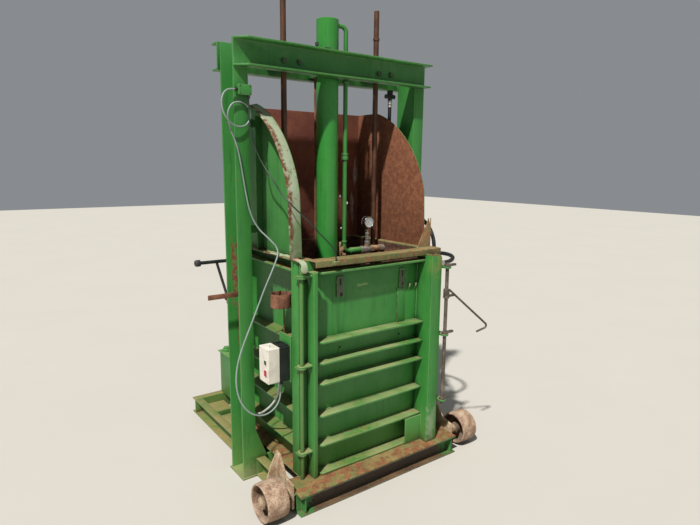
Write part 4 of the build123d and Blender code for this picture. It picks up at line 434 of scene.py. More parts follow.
def make_enamels(paint):
    """The painted finishes, by the name of what each is on."""
    green = paint.enamel
    return {
        # Sound brushed green, satin, with worn arrises
        "enamel": enamelled_steel("green_enamel_on_steel", paint, green),
        # The left post has lost its paint in a strip inside its rear flange
        "post_enamel": enamelled_steel("green_enamel_on_post", paint, green, marks=(
            ("rust", (-567, 67, 1112), (15, 12, 172), 1.0), ("rust", (-549, 67, 850), (8, 12, 130), 0.9),
            ("rust", (-549, 67, 560), (5, 12, 150), 0.6), ("#7d7a55", (-575, -75, 20), (60, 90, 60), 0.6),
        )),
        # The door is scuffed by bales and dusty on what faces up
        "door_enamel": enamelled_steel("green_enamel_on_door", paint, green, rust=0.05, wear=0.6, dust=0.9),
        # The beams' enamel is painted darker than the rest as painted shade, and their corners get the
        # strongest and widest painted shade
        "beam_enamel_painted_shade": enamelled_steel(
            "beam_enamel_with_painted_shade", paint, linear("#226a24"),
            rust=0.03, wear=0.7, dust=0.7, corner_shade=1.0, shade_reach=110,
        ),
        # Wool grease and dust lie pale on the tops of the door's ribs, and their front edges are pale at full
        # wear, partly real wear and partly a painted highlight
        "rib_enamel": enamelled_steel(
            "green_enamel_on_ribs", paint, green, rust=0.05, wear=1.0, dust=0.85, dust_tone="#8f9a6c",
        ),
        # The right stile is mossy at its head and scraped grey at its foot
        "stile_enamel": enamelled_steel("green_enamel_on_stile", paint, green, rust=0.03, wear=0.8, marks=(
            ("#7f8443", (385, -480, 1150), (34, 30, 70), 0.6), ("rust", (350, -480, 1189), (60, 60, 9), 0.8),
            ("#6d7d3c", (330, -480, 1120), (40, 30, 40), 0.35),
            ("#9aa08a", (352, -485, 205), (26, 10, 96), 0.45),
        )),
        # Hands and grease have blackened the door's slots, and the nibs' tops by the right stile are painted
        # pale as a painted highlight
        "fitting_enamel": enamelled_steel(
            "green_enamel_on_door_fittings", paint, green, rust=0.05, wear=1.0, marks=(
                ("#4c4f40", (-202, -372, 1060), (30, 14, 68), 0.9),
                ("#4c4f40", (210, -372, 1060), (30, 14, 68), 0.9),
                ("#3d3d24", (178, -376, 905), (3, 14, 100), 0.8),
                # Painted highlight on the nibs' tops
                ("#bcc6a0", (284, -386, 1003), (40, 8, 26), 0.85),
            ),
        ),
        # A press tube is smoother and glossier than the plate work
        "barrel_enamel": enamelled_steel(
            "gloss_green_enamel_on_tube", paint, linear("#2c8130"), rust=0.0, wear=0.25, dust=0.3, gloss=0.22,
        ),
        # The hopper's sides are green outside and bare brown inside
        "hopper_sheet": enamelled_steel(
            "enamelled_sheet_rusted_inside", paint, linear("#2a6b29"), rust=0.03, wear=0.7, gloss=0.66,
            tones=("#4f2c1d", "#7b472b", "#9c6742"), bare_inside=0,
        ),
        # Wool has rubbed the chamber's walls bare inside, and dirt lies on the ribs outside
        "wall_enamel": enamelled_steel(
            "enamelled_wall_bare_inside", paint, green, rust=0.05, wear=0.8, dust=1.0, dust_tone=CHAMBER_DIRT,
            tones=CHAMBER_RUST, bare_inside=0,
        ),
        "rear_wall_enamel": enamelled_steel(
            "enamelled_rear_wall_bare_inside", paint, green, rust=0.05, dust=1.0, dust_tone=CHAMBER_DIRT,
            tones=CHAMBER_RUST, bare_inside=1,
        ),
        # The door's sheet is a little paler in a band between its slots
        "panel_enamel": enamelled_steel(
            "enamelled_door_panel_bare_inside", paint, green, rust=0.05, wear=0.6, dust=0.9,
            tones=("#3a251b", "#64402c", "#8f6a4a"), bare_inside=1, marks=(
                ("#4f8a45", (20, -370, 1010), (130, 12, 26), 0.4),
                ("#93a86a", (-60, -370, 1052), (34, 12, 6), 0.6),
            ),
        ),
        # Oil and yard dust have turned the deck and the hinge olive
        "deck_enamel": enamelled_steel(
            "dusty_deck_enamel", paint, linear("#33702c"), faded=linear("#5d7a3f"),
            rust=0.10, wear=0.9, dust=1.0, dust_tone="#7d7a4c",
        ),
        "hinge_enamel": enamelled_steel(
            "oily_hinge_enamel", paint, linear("#3a7130"), faded=linear("#6b7d47"),
            rust=0.10, wear=1.0, dust=1.0, dust_tone="#64603a", blot=26,
        ),
        # Half the rim's enamel is gone, and what is left is khaki
        "rim_paint": enamelled_steel(
            "enamel_rusted_through", paint, linear("#5b6434"), faded=linear("#80794a"),
            rust=0.50, wear=1.0, dust=0.9, dust_tone="#8a7c4f", gloss=0.62, blot=24,
            tones=("#57402a", "#86603c", "#b08a5e"), marks=(("rust", (375, -357, 1300), (70, 14, 84), 1.0),),
        ),
        # Boots have worn the sill to rust, with enamel left in islands
        "sill_rust": enamelled_steel(
            "trodden_sill_enamel_and_rust", paint, linear("#4d6130"), faded=linear("#6f6b3c"),
            rust=0.62, wear=1.0, dust=0.7, dust_tone="#857044", gloss=0.7, blot=46,
            tones=("#4c3020", "#80532f", "#a8784a"),
        ),
        # The front channel is painted dark greasy brown, partly grease and dirt and partly painted shade in
        # its recess, with wide painted shade in its corners, and its green enamel shows at its two ends
        "channel_grime_and_shade": enamelled_steel(
            "greasy_channel_enamel_and_painted_shade", paint, linear("#2b2018"), faded=linear("#3a2a1c"),
            rust=0.25, wear=0.9, dust=0.7, dust_tone="#6f5a3c", gloss=0.6, shade_reach=90,
            tones=("#21150e", "#4a2f1d", "#7a573a"), marks=(
                ("#2f7230", (-500, -500, 60), (52, 40, 70), 0.9),
                ("#2f7230", (500, -500, 60), (60, 40, 70), 0.9),
            ),
        ),
        # The edging keeps a chalky coat and rusts along its inner, riveted boundary
        "edging_paint": enamelled_steel(
            "chalked_edging_enamel", paint, linear("#869273"), faded=linear("#a9b196"),
            # Its corners get the strongest painted shade
            rust=0.22, wear=1.0, dust=0.4, dust_tone="#9da081", gloss=0.66, blot=22, corner_shade=1.0,
            tones=("#3c2417", "#6e4227", "#97704d"), marks=(
                ("rust", (-466, -100, 1560), (21, 400, 420), 1.0),
                ("#5f7a4c", (-436, -330, 1290), (60, 60, 110), 0.7),
                ("#6f8a5a", (-436, -240, 1530), (60, 60, 130), 0.4),
            ),
        ),
        # Handling has rubbed the strap to a pale grey green
        "strap_paint": enamelled_steel(
            "handled_strap_enamel", paint, linear("#9aa585"), faded=linear("#b2b898"),
            rust=0.05, wear=1.0, dust=0.6, dust_tone="#b4b293", gloss=0.55,
            tones=("#8a5240", "#b57a62", "#c9a189"), marks=(("rust", (-436, -320, 1215), (30, 60, 12), 0.9),),
        ),
        # The motor's own blue grey shows it was bought in
        "motor_paint": enamelled_steel(
            "blue_grey_motor_enamel", paint, linear("#3f5560"), faded=linear("#5c7078"),
            rust=0.1, wear=0.7, gloss=0.4,
        ),
    }


def make_bare_steels():
    """The unpainted steels, from dry rust to oiled bar."""
    return {
        # Even red-brown rust over a whole sheet, hardly streaked
        "sheet_rust": rusted_steel(
            "rusted_hopper_sheet", ("#4a2418", "#70382a", "#8d5137"), patch=180, streak=0.3,
        ),
        # A torn edge is paler and pinker than the sheet it hangs from
        "shard_rust": rusted_steel("torn_sheet_edge", ("#5a3a30", "#87675a", "#b8a79a"), patch=25),
        # Years of rust on thick steel: brown all over, with a sandy tooth
        "old_rust": rusted_steel("old_rusted_steel", ("#3f241a", "#6b3d29", "#9a6a4b")),
        # Flakes stand off the steel, so the tooth is deep and the tones far apart
        "flake_rust": rusted_steel(
            "flaking_rust", ("#4c2c19", "#7f5734", "#b79a70"), grain=4, patch=24, depth=1.6,
        ),
        # Dust caked into the rust makes it paler and lumpier
        "lump_rust": rusted_steel(
            "caked_rust_and_dust", ("#6d4a33", "#a5835f", "#d0bf9e"), grain=5, patch=35, depth=1.8,
        ),
        # Dry pale dust on cast iron, with the hollows inside the hub darkened as painted shade
        "wheel_rust": rusted_steel(
            "rusted_cast_wheel", ("#5a3a2c", "#9b7c63", "#cbb092"), grain=7, patch=40, depth=1.4, shade_hollows=True,
        ),
        # Oil keeps these from rusting: darker, smoother and a little glossy
        "lever_steel": rusted_steel(
            "black_oiled_lever", ("#121314", "#1f2021", "#3f3f3c"), grain=3, patch=60, roughness=0.5,
            depth=0.3,
        ),
        "shaft_steel": rusted_steel(
            "dull_lock_shaft", ("#241f1a", "#4b4237", "#7b7060"), grain=4, patch=45, roughness=0.62,
            depth=0.5,
        ),
        "rod_steel": rusted_steel(
            "oiled_guide_rod", ("#2c1d16", "#54382a", "#7a543d"), grain=3, patch=120, roughness=0.5,
            metallic=0.45, depth=0.25,
        ),
        "bolt_steel": rusted_steel(
            "weathered_bolt", ("#16201a", "#223a22", "#4c5a3d"), grain=3, patch=20, roughness=0.55, depth=0.3,
        ),
        # Cast iron, black with oil
        "pump_iron": rusted_steel(
            "cast_pump_body", ("#17191a", "#2b2e2f", "#4b4a45"), grain=4, patch=60, roughness=0.6, depth=0.5,
        ),
    }


def make_bought_finishes():
    """The finishes of bought parts: tones clean and soiled, roughness, grain and depth of the tooth."""
    return {
        # Zinc is bright but dulled by white corrosion
        "fitting_steel": plain_finish(
            "zinc_plated_fitting", ("#b5b2a8", "#77705f"), 0.34, 5, 0.15, Metallic=0.7,
        ),
        # Polished stainless steel mirrors its surroundings
        "gauge_case": plain_finish(
            "polished_gauge_case", ("#d5d6d4", "#9b9a94"), 0.16, 8, 0.05, Metallic=1.0,
        ),
        # Screen-printed ink is flat and even
        "dial_white": plain_finish("printed_dial_white", ("#ecebe4", "#cfccc0"), 0.45, 4, 0.02),
        "dial_black": plain_finish("printed_dial_black", ("#16181a", "#2a2c2e"), 0.5, 4, 0.02),
        # Float glass lies clear over the dial, a little hazy
        "glass": glass_finish("gauge_glass"),
        # The hose's braid prints through its rubber cover, drawn coarser than the real 1 mm strands
        "hose": plain_finish("braided_rubber_hose", ("#15161a", "#34332f"), 0.55, 2.2, 0.5),
        # Extruded PVC has a soft sheen and holds dust
        "cable_grey": plain_finish("grey_pvc_sheath", ("#87938c", "#5f6b62"), 0.42, 5, 0.05),
        "cable_white": plain_finish("white_pvc_sheath", ("#c3c4bb", "#8f8c80"), 0.42, 5, 0.05),
        "cable_dark": plain_finish("dark_green_pvc_sheath", ("#1c2b1f", "#3a4537"), 0.42, 5, 0.05),
        # Spark-eroded moulds give plastic covers a fine even tooth, and buttons come out glossier
        "box_cream": plain_finish("moulded_cream_cover", ("#dcd4c6", "#ada391"), 0.4, 2.5, 0.06),
        "box_black": plain_finish("moulded_black_base", ("#1a1b1b", "#33332f"), 0.5, 2.5, 0.08),
        "button_green": plain_finish("moulded_green_button", ("#0e4a26", "#163d28"), 0.3, 3, 0.04),
        "button_red": plain_finish("moulded_red_button", ("#b5162e", "#8c1830"), 0.3, 3, 0.04),
        # Drawn wire gone dull
        "wire": plain_finish("drawn_wire", ("#3b3a34", "#6d6b5d"), 0.5, 2, 0.05, Metallic=0.5),
    }


MATERIALS = {}

# Tools for pieces


def select_only(*objects):
    """Leave only these objects selected, with the first one active."""
    if bpy.context.object and bpy.context.object.mode != "OBJECT":
        bpy.ops.object.mode_set(mode="OBJECT")
    bpy.ops.object.select_all(action="DESELECT")
    for item in objects:
        item.select_set(True)
    bpy.context.view_layer.objects.active = objects[0]


def apply_modifiers(piece):
    """Make a piece's modifiers part of its mesh."""
    select_only(piece)
    for modifier in list(piece.modifiers):
        bpy.ops.object.modifier_apply(modifier=modifier.name)


SMOOTH_ANGLE = 35
ROUND_SMOOTH_ANGLE = 60


def settle(piece, name, material, body="press_frame", smooth=SMOOTH_ANGLE):
    """Name a piece, put its place into its mesh, dress it and make it ride on its body."""
    piece.name = name
    piece.data.name = name
    select_only(piece)
    bpy.ops.object.transform_apply(location=True, rotation=True, scale=True)
    if piece.type == "MESH":
        bpy.ops.object.shade_smooth_by_angle(angle=math.radians(smooth))
    piece.data.materials.clear()
    piece.data.materials.append(MATERIALS[material])
    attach(piece, body)
    return piece


def ease_edges(piece, width, segments=2, angle=30):
    """Round a piece's sharp edges by a bevel of this width."""
    bevel = piece.modifiers.new("eased_edges", "BEVEL")
    bevel.width = width
    bevel.segments = segments
    bevel.limit_method = "ANGLE"
    bevel.angle_limit = math.radians(angle)
    bevel.use_clamp_overlap = False
    apply_modifiers(piece)


def add_rod(start, end, radius, sides=24):
    """A round bar between two points, still a plain primitive."""
    start, end = Vector(start), Vector(end)
    run = end - start
    bpy.ops.object.select_all(action="DESELECT")
    bpy.ops.mesh.primitive_cylinder_add(
        vertices=sides, radius=radius, depth=run.length, location=(start + end) / 2,
        rotation=run.to_track_quat("Z", "Y").to_euler(),
    )
    return bpy.context.object


def add_block(low, high):
    """A block between two corners in millimetres, still a plain primitive."""
    low, high = Vector(low) * MM, Vector(high) * MM
    bpy.ops.object.select_all(action="DESELECT")
    bpy.ops.mesh.primitive_cube_add(size=1, location=(low + high) / 2)
    block = bpy.context.object
    block.scale = high - low
    bpy.ops.object.transform_apply(location=False, rotation=False, scale=True)
    return block


def joined(pieces):
    """Join several meshes into one object."""
    select_only(*pieces)
    if len(pieces) > 1:
        bpy.ops.object.join()
    return bpy.context.object


# A node's loose triangles are merged at this distance, and joined where they are this flat
MERGE_DISTANCE = 0.01 * MM
FLAT_ANGLE = math.radians(1.5)
# How long a bend of hard use is, and where in the noise it is read
BEND_LENGTH = 0.35
BEND_PLACE = (3.3, 7.7)


def roughened(piece, cuts_along, spacing, amount):
    """Give long steel the small bends of hard use: cut it across, then push each part a little."""
    select_only(piece)
    axis = "XYZ".index(cuts_along)
    normal = [0, 0, 0]
    normal[axis] = 1
    places = [vertex.co[axis] for vertex in piece.data.vertices]
    low, high = min(places), max(places)
    parts = int((high - low) / spacing)
    bpy.ops.object.mode_set(mode="EDIT")
    for count in range(1, parts):
        cut = [0, 0, 0]
        cut[axis] = low + count * (high - low) / parts
        bpy.ops.mesh.select_all(action="SELECT")
        bpy.ops.mesh.bisect(plane_co=cut, plane_no=normal)
    bpy.ops.object.mode_set(mode="OBJECT")
    shift = Vector((amount * 1000, *BEND_PLACE))
    for vertex in piece.data.vertices:
        vertex.co += noise.noise_vector(vertex.co / BEND_LENGTH + shift) * amount
        vertex.co.z = max(vertex.co.z, CAD_BOX[0][2])


def softened(node, material, bend, arris, body):
    """A welded piece in the CAD's own shape, with eased edges and, where asked, the bends of hard use."""
    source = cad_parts[node]
    piece = bpy.data.objects.new(node + "_steel", source.data.copy())
    bpy.context.scene.collection.objects.link(piece)
    select_only(piece)
    bpy.ops.object.mode_set(mode="EDIT")
    bpy.ops.mesh.select_all(action="SELECT")
    bpy.ops.mesh.remove_doubles(threshold=MERGE_DISTANCE)
    bpy.ops.mesh.dissolve_limited(angle_limit=FLAT_ANGLE)
    bpy.ops.object.mode_set(mode="OBJECT")
    if bend:
        roughened(piece, *bend)
    ease_edges(piece, arris)
    settle(piece, node + "_steel", material, body)
    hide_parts(node)


def cut_plate(outline, axis, low, high):
    """A flame-cut plate of any outline, lying across the Y or Z axis from low to high, all in millimetres."""
    bpy.ops.object.select_all(action="DESELECT")
    bpy.ops.mesh.primitive_circle_add(vertices=len(outline), radius=1, fill_type="NGON")
    plate = bpy.context.object
    for vertex, (across, up) in zip(plate.data.vertices, outline):
        corner = {"Y": (across, low, up), "Z": (across, up, low)}[axis]
        vertex.co = Vector(corner) * MM
    push = Vector([high - low if name == axis else 0 for name in "XYZ"]) * MM
    bpy.ops.object.mode_set(mode="EDIT")
    bpy.ops.mesh.select_all(action="SELECT")
    bpy.ops.mesh.extrude_region_move(TRANSFORM_OT_translate={"value": push})
    bpy.ops.mesh.select_all(action="SELECT")
    bpy.ops.mesh.normals_make_consistent(inside=False)
    bpy.ops.object.mode_set(mode="OBJECT")
    return plate


BAR_CORNERS = ((-1, -1), (1, -1), (1, 1), (-1, 1))
# The corners of a new plane in the order of BAR_CORNERS
PLANE_ORDER = (0, 1, 3, 2)


def drawn_bar(stations):
    """A flat bar drawn through stations, each a centre, half its width and half its thickness, in
    millimetres."""
    rings = [
        [(Vector(centre) + Vector(wide) * a + Vector(thick) * b) * MM for a, b in BAR_CORNERS]
        for centre, wide, thick in stations
    ]
    bpy.ops.object.select_all(action="DESELECT")
    bpy.ops.mesh.primitive_plane_add(size=1)
    bar = bpy.context.object
    for corner, index in zip(rings[0], PLANE_ORDER):
        bar.data.vertices[index].co = corner
    bpy.ops.object.mode_set(mode="EDIT")
    bpy.ops.mesh.select_all(action="SELECT")
    for ring, following in zip(rings, rings[1:]):
        bpy.ops.mesh.extrude_region_move()
        shape = bmesh.from_edit_mesh(bar.data)
        for vertex in [vertex for vertex in shape.verts if vertex.select]:
            nearest = min(range(4), key=lambda count: (vertex.co - ring[count]).length)
            vertex.co = following[nearest]
        bmesh.update_edit_mesh(bar.data)
    bpy.ops.mesh.select_all(action="SELECT")
    bpy.ops.mesh.normals_make_consistent(inside=False)
    bpy.ops.object.mode_set(mode="OBJECT")
    return bar


def run_of(points, radius, swell=None, round_steps=2, bend_steps=4):
    """A round run along points in millimetres, swollen at each as asked, made a mesh."""
    curve = bpy.data.curves.new("run", "CURVE")
    curve.dimensions = "3D"
    spline = curve.splines.new("NURBS")
    spline.points.add(len(points) - 1)
    for count, (point, place) in enumerate(zip(spline.points, points)):
        point.co = (*(Vector(place) * MM), 1)
        point.radius = swell[count] if swell else 1
    spline.order_u = 3
    spline.use_endpoint_u = True
    curve.resolution_u = bend_steps
    curve.bevel_depth = radius * MM
    curve.bevel_resolution = round_steps
    curve.use_fill_caps = True
    piece = bpy.data.objects.new("run", curve)
    bpy.context.scene.collection.objects.link(piece)
    select_only(piece)
    bpy.ops.object.convert(target="MESH")
    piece = bpy.context.object
    bpy.ops.object.mode_set(mode="EDIT")
    bpy.ops.mesh.select_all(action="SELECT")
    bpy.ops.mesh.remove_doubles(threshold=0.001 * MM)
    bpy.ops.mesh.normals_make_consistent(inside=False)
    bpy.ops.object.mode_set(mode="OBJECT")
    return piece


# Stick weld, in millimetres: a ripple's length, how far the bead wanders, and how long a wander is
RIPPLE = 9.0
WELD_WANDER = 1.1
WANDER_SCALE = 0.07
# Widths as shares of the bead's radius: in a ripple's valley, more on its crest, the slow change, at the ends
VALLEY, CREST, SLOW_CHANGE, BEAD_END = 0.8, 0.3, 0.25, 0.55
SLOW_SCALE = 0.05


def weld_run(start, end, radius):
    """Stick weld between two points: a bead whose ripples and width wander, in millimetres."""
    start, end = Vector(start), Vector(end)
    count = max(4, round((end - start).length / RIPPLE))
    points, swell = [], []
    for step in range(count + 1):
        place = start.lerp(end, step / count)
        points.append(place + noise.noise_vector(place * WANDER_SCALE) * WELD_WANDER)
        swell.append(VALLEY + CREST * (step % 2) + SLOW_CHANGE * noise.noise(place * SLOW_SCALE))
    swell[0] = swell[-1] = BEAD_END
    return run_of(points, radius, swell, round_steps=1, bend_steps=2)


ALONG_X, ALONG_Y, UPRIGHT = (1, 0, 0), (0, 1, 0), (0, 0, 1)


def hex_nut(centre, axis, flats, length):
    """A hexagon nut on a centre and axis, with its corners eased, all in millimetres."""
    centre, axis = Vector(centre) * MM, Vector(axis).normalized()
    half = axis * length * MM / 2
    nut = add_rod(centre - half, centre + half, flats * MM / math.sqrt(3), sides=6)
    ease_edges(nut, 1 * MM)
    return nut


def collar(centre, axis, radius, length, arris=1.0, sides=28):
    """A short round collar on a centre and axis, with eased edges, all in millimetres."""
    centre, axis = Vector(centre) * MM, Vector(axis).normalized()
    half = axis * length * MM / 2
    ring = add_rod(centre - half, centre + half, radius * MM, sides=sides)
    ease_edges(ring, arris * MM)
    return ring


def socket_screw(centre, axis, radius, height):
    """A round-headed screw with a recessed socket, standing on its centre, all in millimetres."""
    centre, axis = Vector(centre) * MM, Vector(axis).normalized()
    screw = add_rod(centre, centre + axis * height * MM, radius * MM, sides=18)
    bpy.ops.object.transform_apply(location=True, rotation=True, scale=True)
    bpy.ops.object.mode_set(mode="EDIT")
    bpy.ops.mesh.select_mode(type="FACE")
    bpy.ops.mesh.select_all(action="DESELECT")
    shape = bmesh.from_edit_mesh(screw.data)
    for face in shape.faces:
        face.select_set(face.normal.dot(axis) > 0.9)
    bmesh.update_edit_mesh(screw.data)
    bpy.ops.mesh.inset(thickness=radius * 0.45 * MM)
    bpy.ops.mesh.extrude_region_move(TRANSFORM_OT_translate={"value": axis * -0.5 * height * MM})
    bpy.ops.object.mode_set(mode="OBJECT")
    ease_edges(screw, 0.12 * radius * MM)
    return screw


# Stage

CAMERA_PLACE = (-1.72, -2.52, 1.65)
CAMERA_YAW = math.radians(36.3)
CAMERA_PITCH = math.radians(10.1)
CAMERA_ROLL = math.radians(0.57)
FOCAL_PIXELS = 540
FRAME_WIDTH_PIXELS = 700
SENSOR_WIDTH = 36
KEY_DIRECTION = (0.47, 0.30, -0.83)
KEY_SPREAD = math.radians(2)


class WOOLPRESS_OT_stage(Operator):
    """Set the camera at the photograph's viewing angle, with a plain floor and one soft key light."""

    bl_idname = "wool_press.stage"
    bl_label = "Stage"

    def execute(self, context):
        settings = context.scene.wool_press_stage
        ahead = Vector((
            math.sin(CAMERA_YAW) * math.cos(CAMERA_PITCH), math.cos(CAMERA_YAW) * math.cos(CAMERA_PITCH),
            -math.sin(CAMERA_PITCH),
        ))
        level = Vector((math.cos(CAMERA_YAW), -math.sin(CAMERA_YAW), 0))
        up = level.cross(ahead)
        right = level * math.cos(CAMERA_ROLL) + up * math.sin(CAMERA_ROLL)
        above = up * math.cos(CAMERA_ROLL) - level * math.sin(CAMERA_ROLL)
        lens = bpy.data.cameras.new("camera")
        lens.sensor_width = SENSOR_WIDTH
        lens.lens = lens.sensor_width * FOCAL_PIXELS / FRAME_WIDTH_PIXELS
        camera = bpy.data.objects.new("camera", lens)
        context.scene.collection.objects.link(camera)
        turned = Matrix((right, above, -ahead)).transposed().to_4x4()
        camera.matrix_world = Matrix.Translation(CAMERA_PLACE) @ turned
        context.scene.camera = camera
        bpy.ops.object.select_all(action="DESELECT")
        bpy.ops.mesh.primitive_plane_add(size=settings.floor_size)
        floor = context.object
        floor.name = "floor"
        material, tree, place = start_material("pale_floor")
        masks = cloud_masks(tree, place, {"tone": (900, 1.0, 0.3, 0.7), "grit": (6, 1.0, 0.3, 0.7)})
        shade = layered(tree, settings.floor, [(overlap(tree, masks["tone"], 0.25), linear("#c4beb2"))])
        floor.data.materials.append(finish_material(material, tree, shade, 0.9, masks["grit"], 0.2 * MM))
        sun = bpy.data.lights.new("key_light", "SUN")
        sun.energy = settings.key
        sun.angle = KEY_SPREAD
        key = bpy.data.objects.new("key_light", sun)
        context.scene.collection.objects.link(key)
        key.rotation_mode = "QUATERNION"
        key.rotation_quaternion = Vector(KEY_DIRECTION).to_track_quat("-Z", "Y")
        world = bpy.data.worlds.new("soft_surroundings")
        context.scene.world = world
        world.use_nodes = True
        background = world.node_tree.nodes["Background"]
        background.inputs["Color"].default_value = linear("#eaf0f6")
        background.inputs["Strength"].default_value = settings.fill
        context.scene.view_settings.view_transform = "Standard"
        return {"FINISHED"}


# Hoses and cables, along the routes that the CAD solids keep

REAR_HOSE_ROUTE = (
    (0.500, 0.1065, 2.045), (0.500, 0.1065, 1.960), (0.498, 0.108, 1.865), (0.495, 0.108, 1.770),
    (0.490, 0.107, 1.672), (0.487, 0.098, 1.585), (0.485, 0.074, 1.514), (0.484, 0.030, 1.457),
    (0.484, -0.034, 1.412), (0.484, -0.106, 1.386), (0.485, -0.180, 1.370), (0.485, -0.244, 1.343),
    (0.486, -0.291, 1.304), (0.486, -0.319, 1.258), (0.486, -0.332, 1.210), (0.486, -0.332, 1.160),
)
VALVE_HOSE_ROUTE = (
    (0.528, -0.332, 1.099), (0.592, -0.332, 1.099), (0.660, -0.315, 1.106), (0.714, -0.268, 1.114),
    (0.738, -0.198, 1.119), (0.740, -0.112, 1.114), (0.726, -0.016, 1.096), (0.702, 0.088, 1.060),
    (0.676, 0.196, 1.012), (0.640, 0.302, 0.962), (0.586, 0.400, 0.912), (0.510, 0.492, 0.864),
    (0.424, 0.574, 0.824), (0.336, 0.640, 0.794), (0.252, 0.688, 0.770), (0.174, 0.720, 0.742),
    (0.126, 0.731, 0.686), (0.106, 0.731, 0.620), (0.106, 0.731, 0.559),
)
CONTROL_CABLE_ROUTE = (
    (-0.476, -0.2515, 0.570), (-0.476, -0.2515, 0.512), (-0.506, -0.256, 0.454), (-0.572, -0.260, 0.428),
    (-0.642, -0.256, 0.450), (-0.692, -0.246, 0.515), (-0.710, -0.232, 0.600), (-0.700, -0.222, 0.690),
    (-0.668, -0.213, 0.775), (-0.624, -0.207, 0.862), (-0.578, -0.205, 0.960), (-0.532, -0.204, 1.062),
    (-0.480, -0.202, 1.160), (-0.434, -0.180, 1.238), (-0.474, -0.138, 1.296), (-0.512, -0.104, 1.340),
    (-0.545, -0.086, 1.415), (-0.566, -0.084, 1.525), (-0.583, -0.084, 1.640), (-0.603, -0.084, 1.745),
    (-0.638, -0.084, 1.820), (-0.652, -0.084, 1.888), (-0.6195, -0.084, 1.944), (-0.5545, -0.084, 1.944),
    (-0.522, -0.084, 1.888), (-0.5545, -0.087, 1.832), (-0.6195, -0.098, 1.828), (-0.668, -0.108, 1.866),
    (-0.684, -0.106, 1.910), (-0.682, -0.100, 1.952), (-0.664, -0.093, 1.985), (-0.636, -0.090, 1.9995),
    (-0.607, -0.090, 1.9995),
)
RIM_CABLE_ROUTE = (
    (-0.545, -0.097, 1.965), (-0.545, -0.097, 1.905), (-0.546, -0.110, 1.816), (-0.530, -0.130, 1.723),
    (-0.508, -0.166, 1.648), (-0.488, -0.232, 1.578), (-0.494, -0.304, 1.524), (-0.470, -0.362, 1.472),
    (-0.410, -0.380, 1.414), (-0.358, -0.402, 1.352), (-0.308, -0.424, 1.296), (-0.272, -0.438, 1.250),
    (-0.272, -0.438, 1.204),
)
MOTOR_CABLE_ROUTE = (
    (-0.466, -0.2135, 0.570), (-0.466, -0.2135, 0.510), (-0.492, -0.198, 0.450), (-0.512, -0.150, 0.398),
    (-0.510, -0.080, 0.352), (-0.500, 0.004, 0.318), (-0.484, 0.096, 0.298), (-0.470, 0.190, 0.290),
    (-0.468, 0.290, 0.290), (-0.458, 0.390, 0.298), (-0.400, 0.452, 0.336), (-0.322, 0.482, 0.400),
    (-0.240, 0.510, 0.476), (-0.162, 0.544, 0.546), (-0.120, 0.604, 0.589), (-0.120, 0.666, 0.589),
)


# Each cord's node, route, length in metres, finish, slot and stiffness
CORDS = (
    ("rear_hose", REAR_HOSE_ROUTE, 1.12, "hose", "hose_rubber", "stiff"),
    ("valve_hose", VALVE_HOSE_ROUTE, 1.69, "hose", "hose_rubber", "stiff"),
    ("control_cable", CONTROL_CABLE_ROUTE, 2.37, "cable_grey", "cable_grey", "medium"),
    ("rim_cable", RIM_CABLE_ROUTE, 0.95, "cable_dark", "cable_dark", "medium"),
    ("motor_cable", MOTOR_CABLE_ROUTE, 1.32, "cable_white", "cable_white", "medium"),
)
SLEEVE_LENGTH = 38 * MM
SLEEVE_WALL = 2.5 * MM
# Shares of the sleeve's length where it is cut across, and between which it is pressed in
SLEEVE_CUTS = (0.18, 0.24, 0.34, 0.40, 0.62, 0.68, 0.78, 0.84)
SLEEVE_GROOVES = ((0.22, 0.36), (0.66, 0.80))
GROOVE_WIDTH = 0.9


def ferrule(name, tip, inner, radius):
    """A crimped sleeve over a hose's end, from its tip towards an inner point, with two pressed grooves."""
    tip, inner = Vector(tip), Vector(inner)
    away = (inner - tip).normalized()
    sleeve = add_rod(tip, tip + away * SLEEVE_LENGTH, radius + SLEEVE_WALL, sides=28)
    bpy.ops.object.transform_apply(location=True, rotation=True, scale=True)
    bpy.ops.object.mode_set(mode="EDIT")
    for share in SLEEVE_CUTS:
        bpy.ops.mesh.select_all(action="SELECT")
        bpy.ops.mesh.bisect(plane_co=tip + away * SLEEVE_LENGTH * share, plane_no=away)
    bpy.ops.object.mode_set(mode="OBJECT")
    for vertex in sleeve.data.vertices:
        along = (vertex.co - tip).dot(away) / SLEEVE_LENGTH
        if any(low < along < high for low, high in SLEEVE_GROOVES):
            centre = tip + away * along * SLEEVE_LENGTH
            vertex.co = centre + (vertex.co - centre) * GROOVE_WIDTH
    ease_edges(sleeve, 0.6 * MM)
    return settle(sleeve, name, "fitting_steel")


def cord_piece(node, route, diameter, material):
    """One smooth hose or cable on its chosen route, with its round section."""
    name = node + "_line"
    curve = bpy.data.curves.new(name, "CURVE")
    curve.dimensions = "3D"
    spline = curve.splines.new("NURBS")
    spline.points.add(len(route) - 1)
    for point, place in zip(spline.points, route):
        point.co = (*place, 1)
    spline.order_u = 3
    spline.use_endpoint_u = True
    curve.resolution_u = 14
    curve.bevel_depth = diameter / 2
    curve.bevel_resolution = 5
    curve.use_fill_caps = True
    piece = bpy.data.objects.new(name, curve)
    bpy.context.scene.collection.objects.link(piece)
    curve.materials.append(MATERIALS[material])
    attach(piece, "press_frame")
    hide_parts(node)
    return piece


class WOOLPRESS_OT_cords(Operator):
    """Lay the two hoses and three cables, with crimped sleeves on the hose ends."""

    bl_idname = "wool_press.cords"
    bl_label = "Hoses and cables"

    def execute(self, context):
        sizes = context.scene.wool_press_cords
        sleeves = {
            node: [
                ferrule(f"{node}_sleeve_near", route[0], route[1], getattr(sizes, node) / 2),
                ferrule(f"{node}_sleeve_far", route[-1], route[-2], getattr(sizes, node) / 2),
            ]
            for node, route in (("rear_hose", REAR_HOSE_ROUTE), ("valve_hose", VALVE_HOSE_ROUTE))
        }
        for node, route, length, material, slot, stiffness in CORDS:
            cord_piece(
                node, route, getattr(sizes, node), material,
            )
        return {"FINISHED"}


# Steelwork in the CAD's own shapes

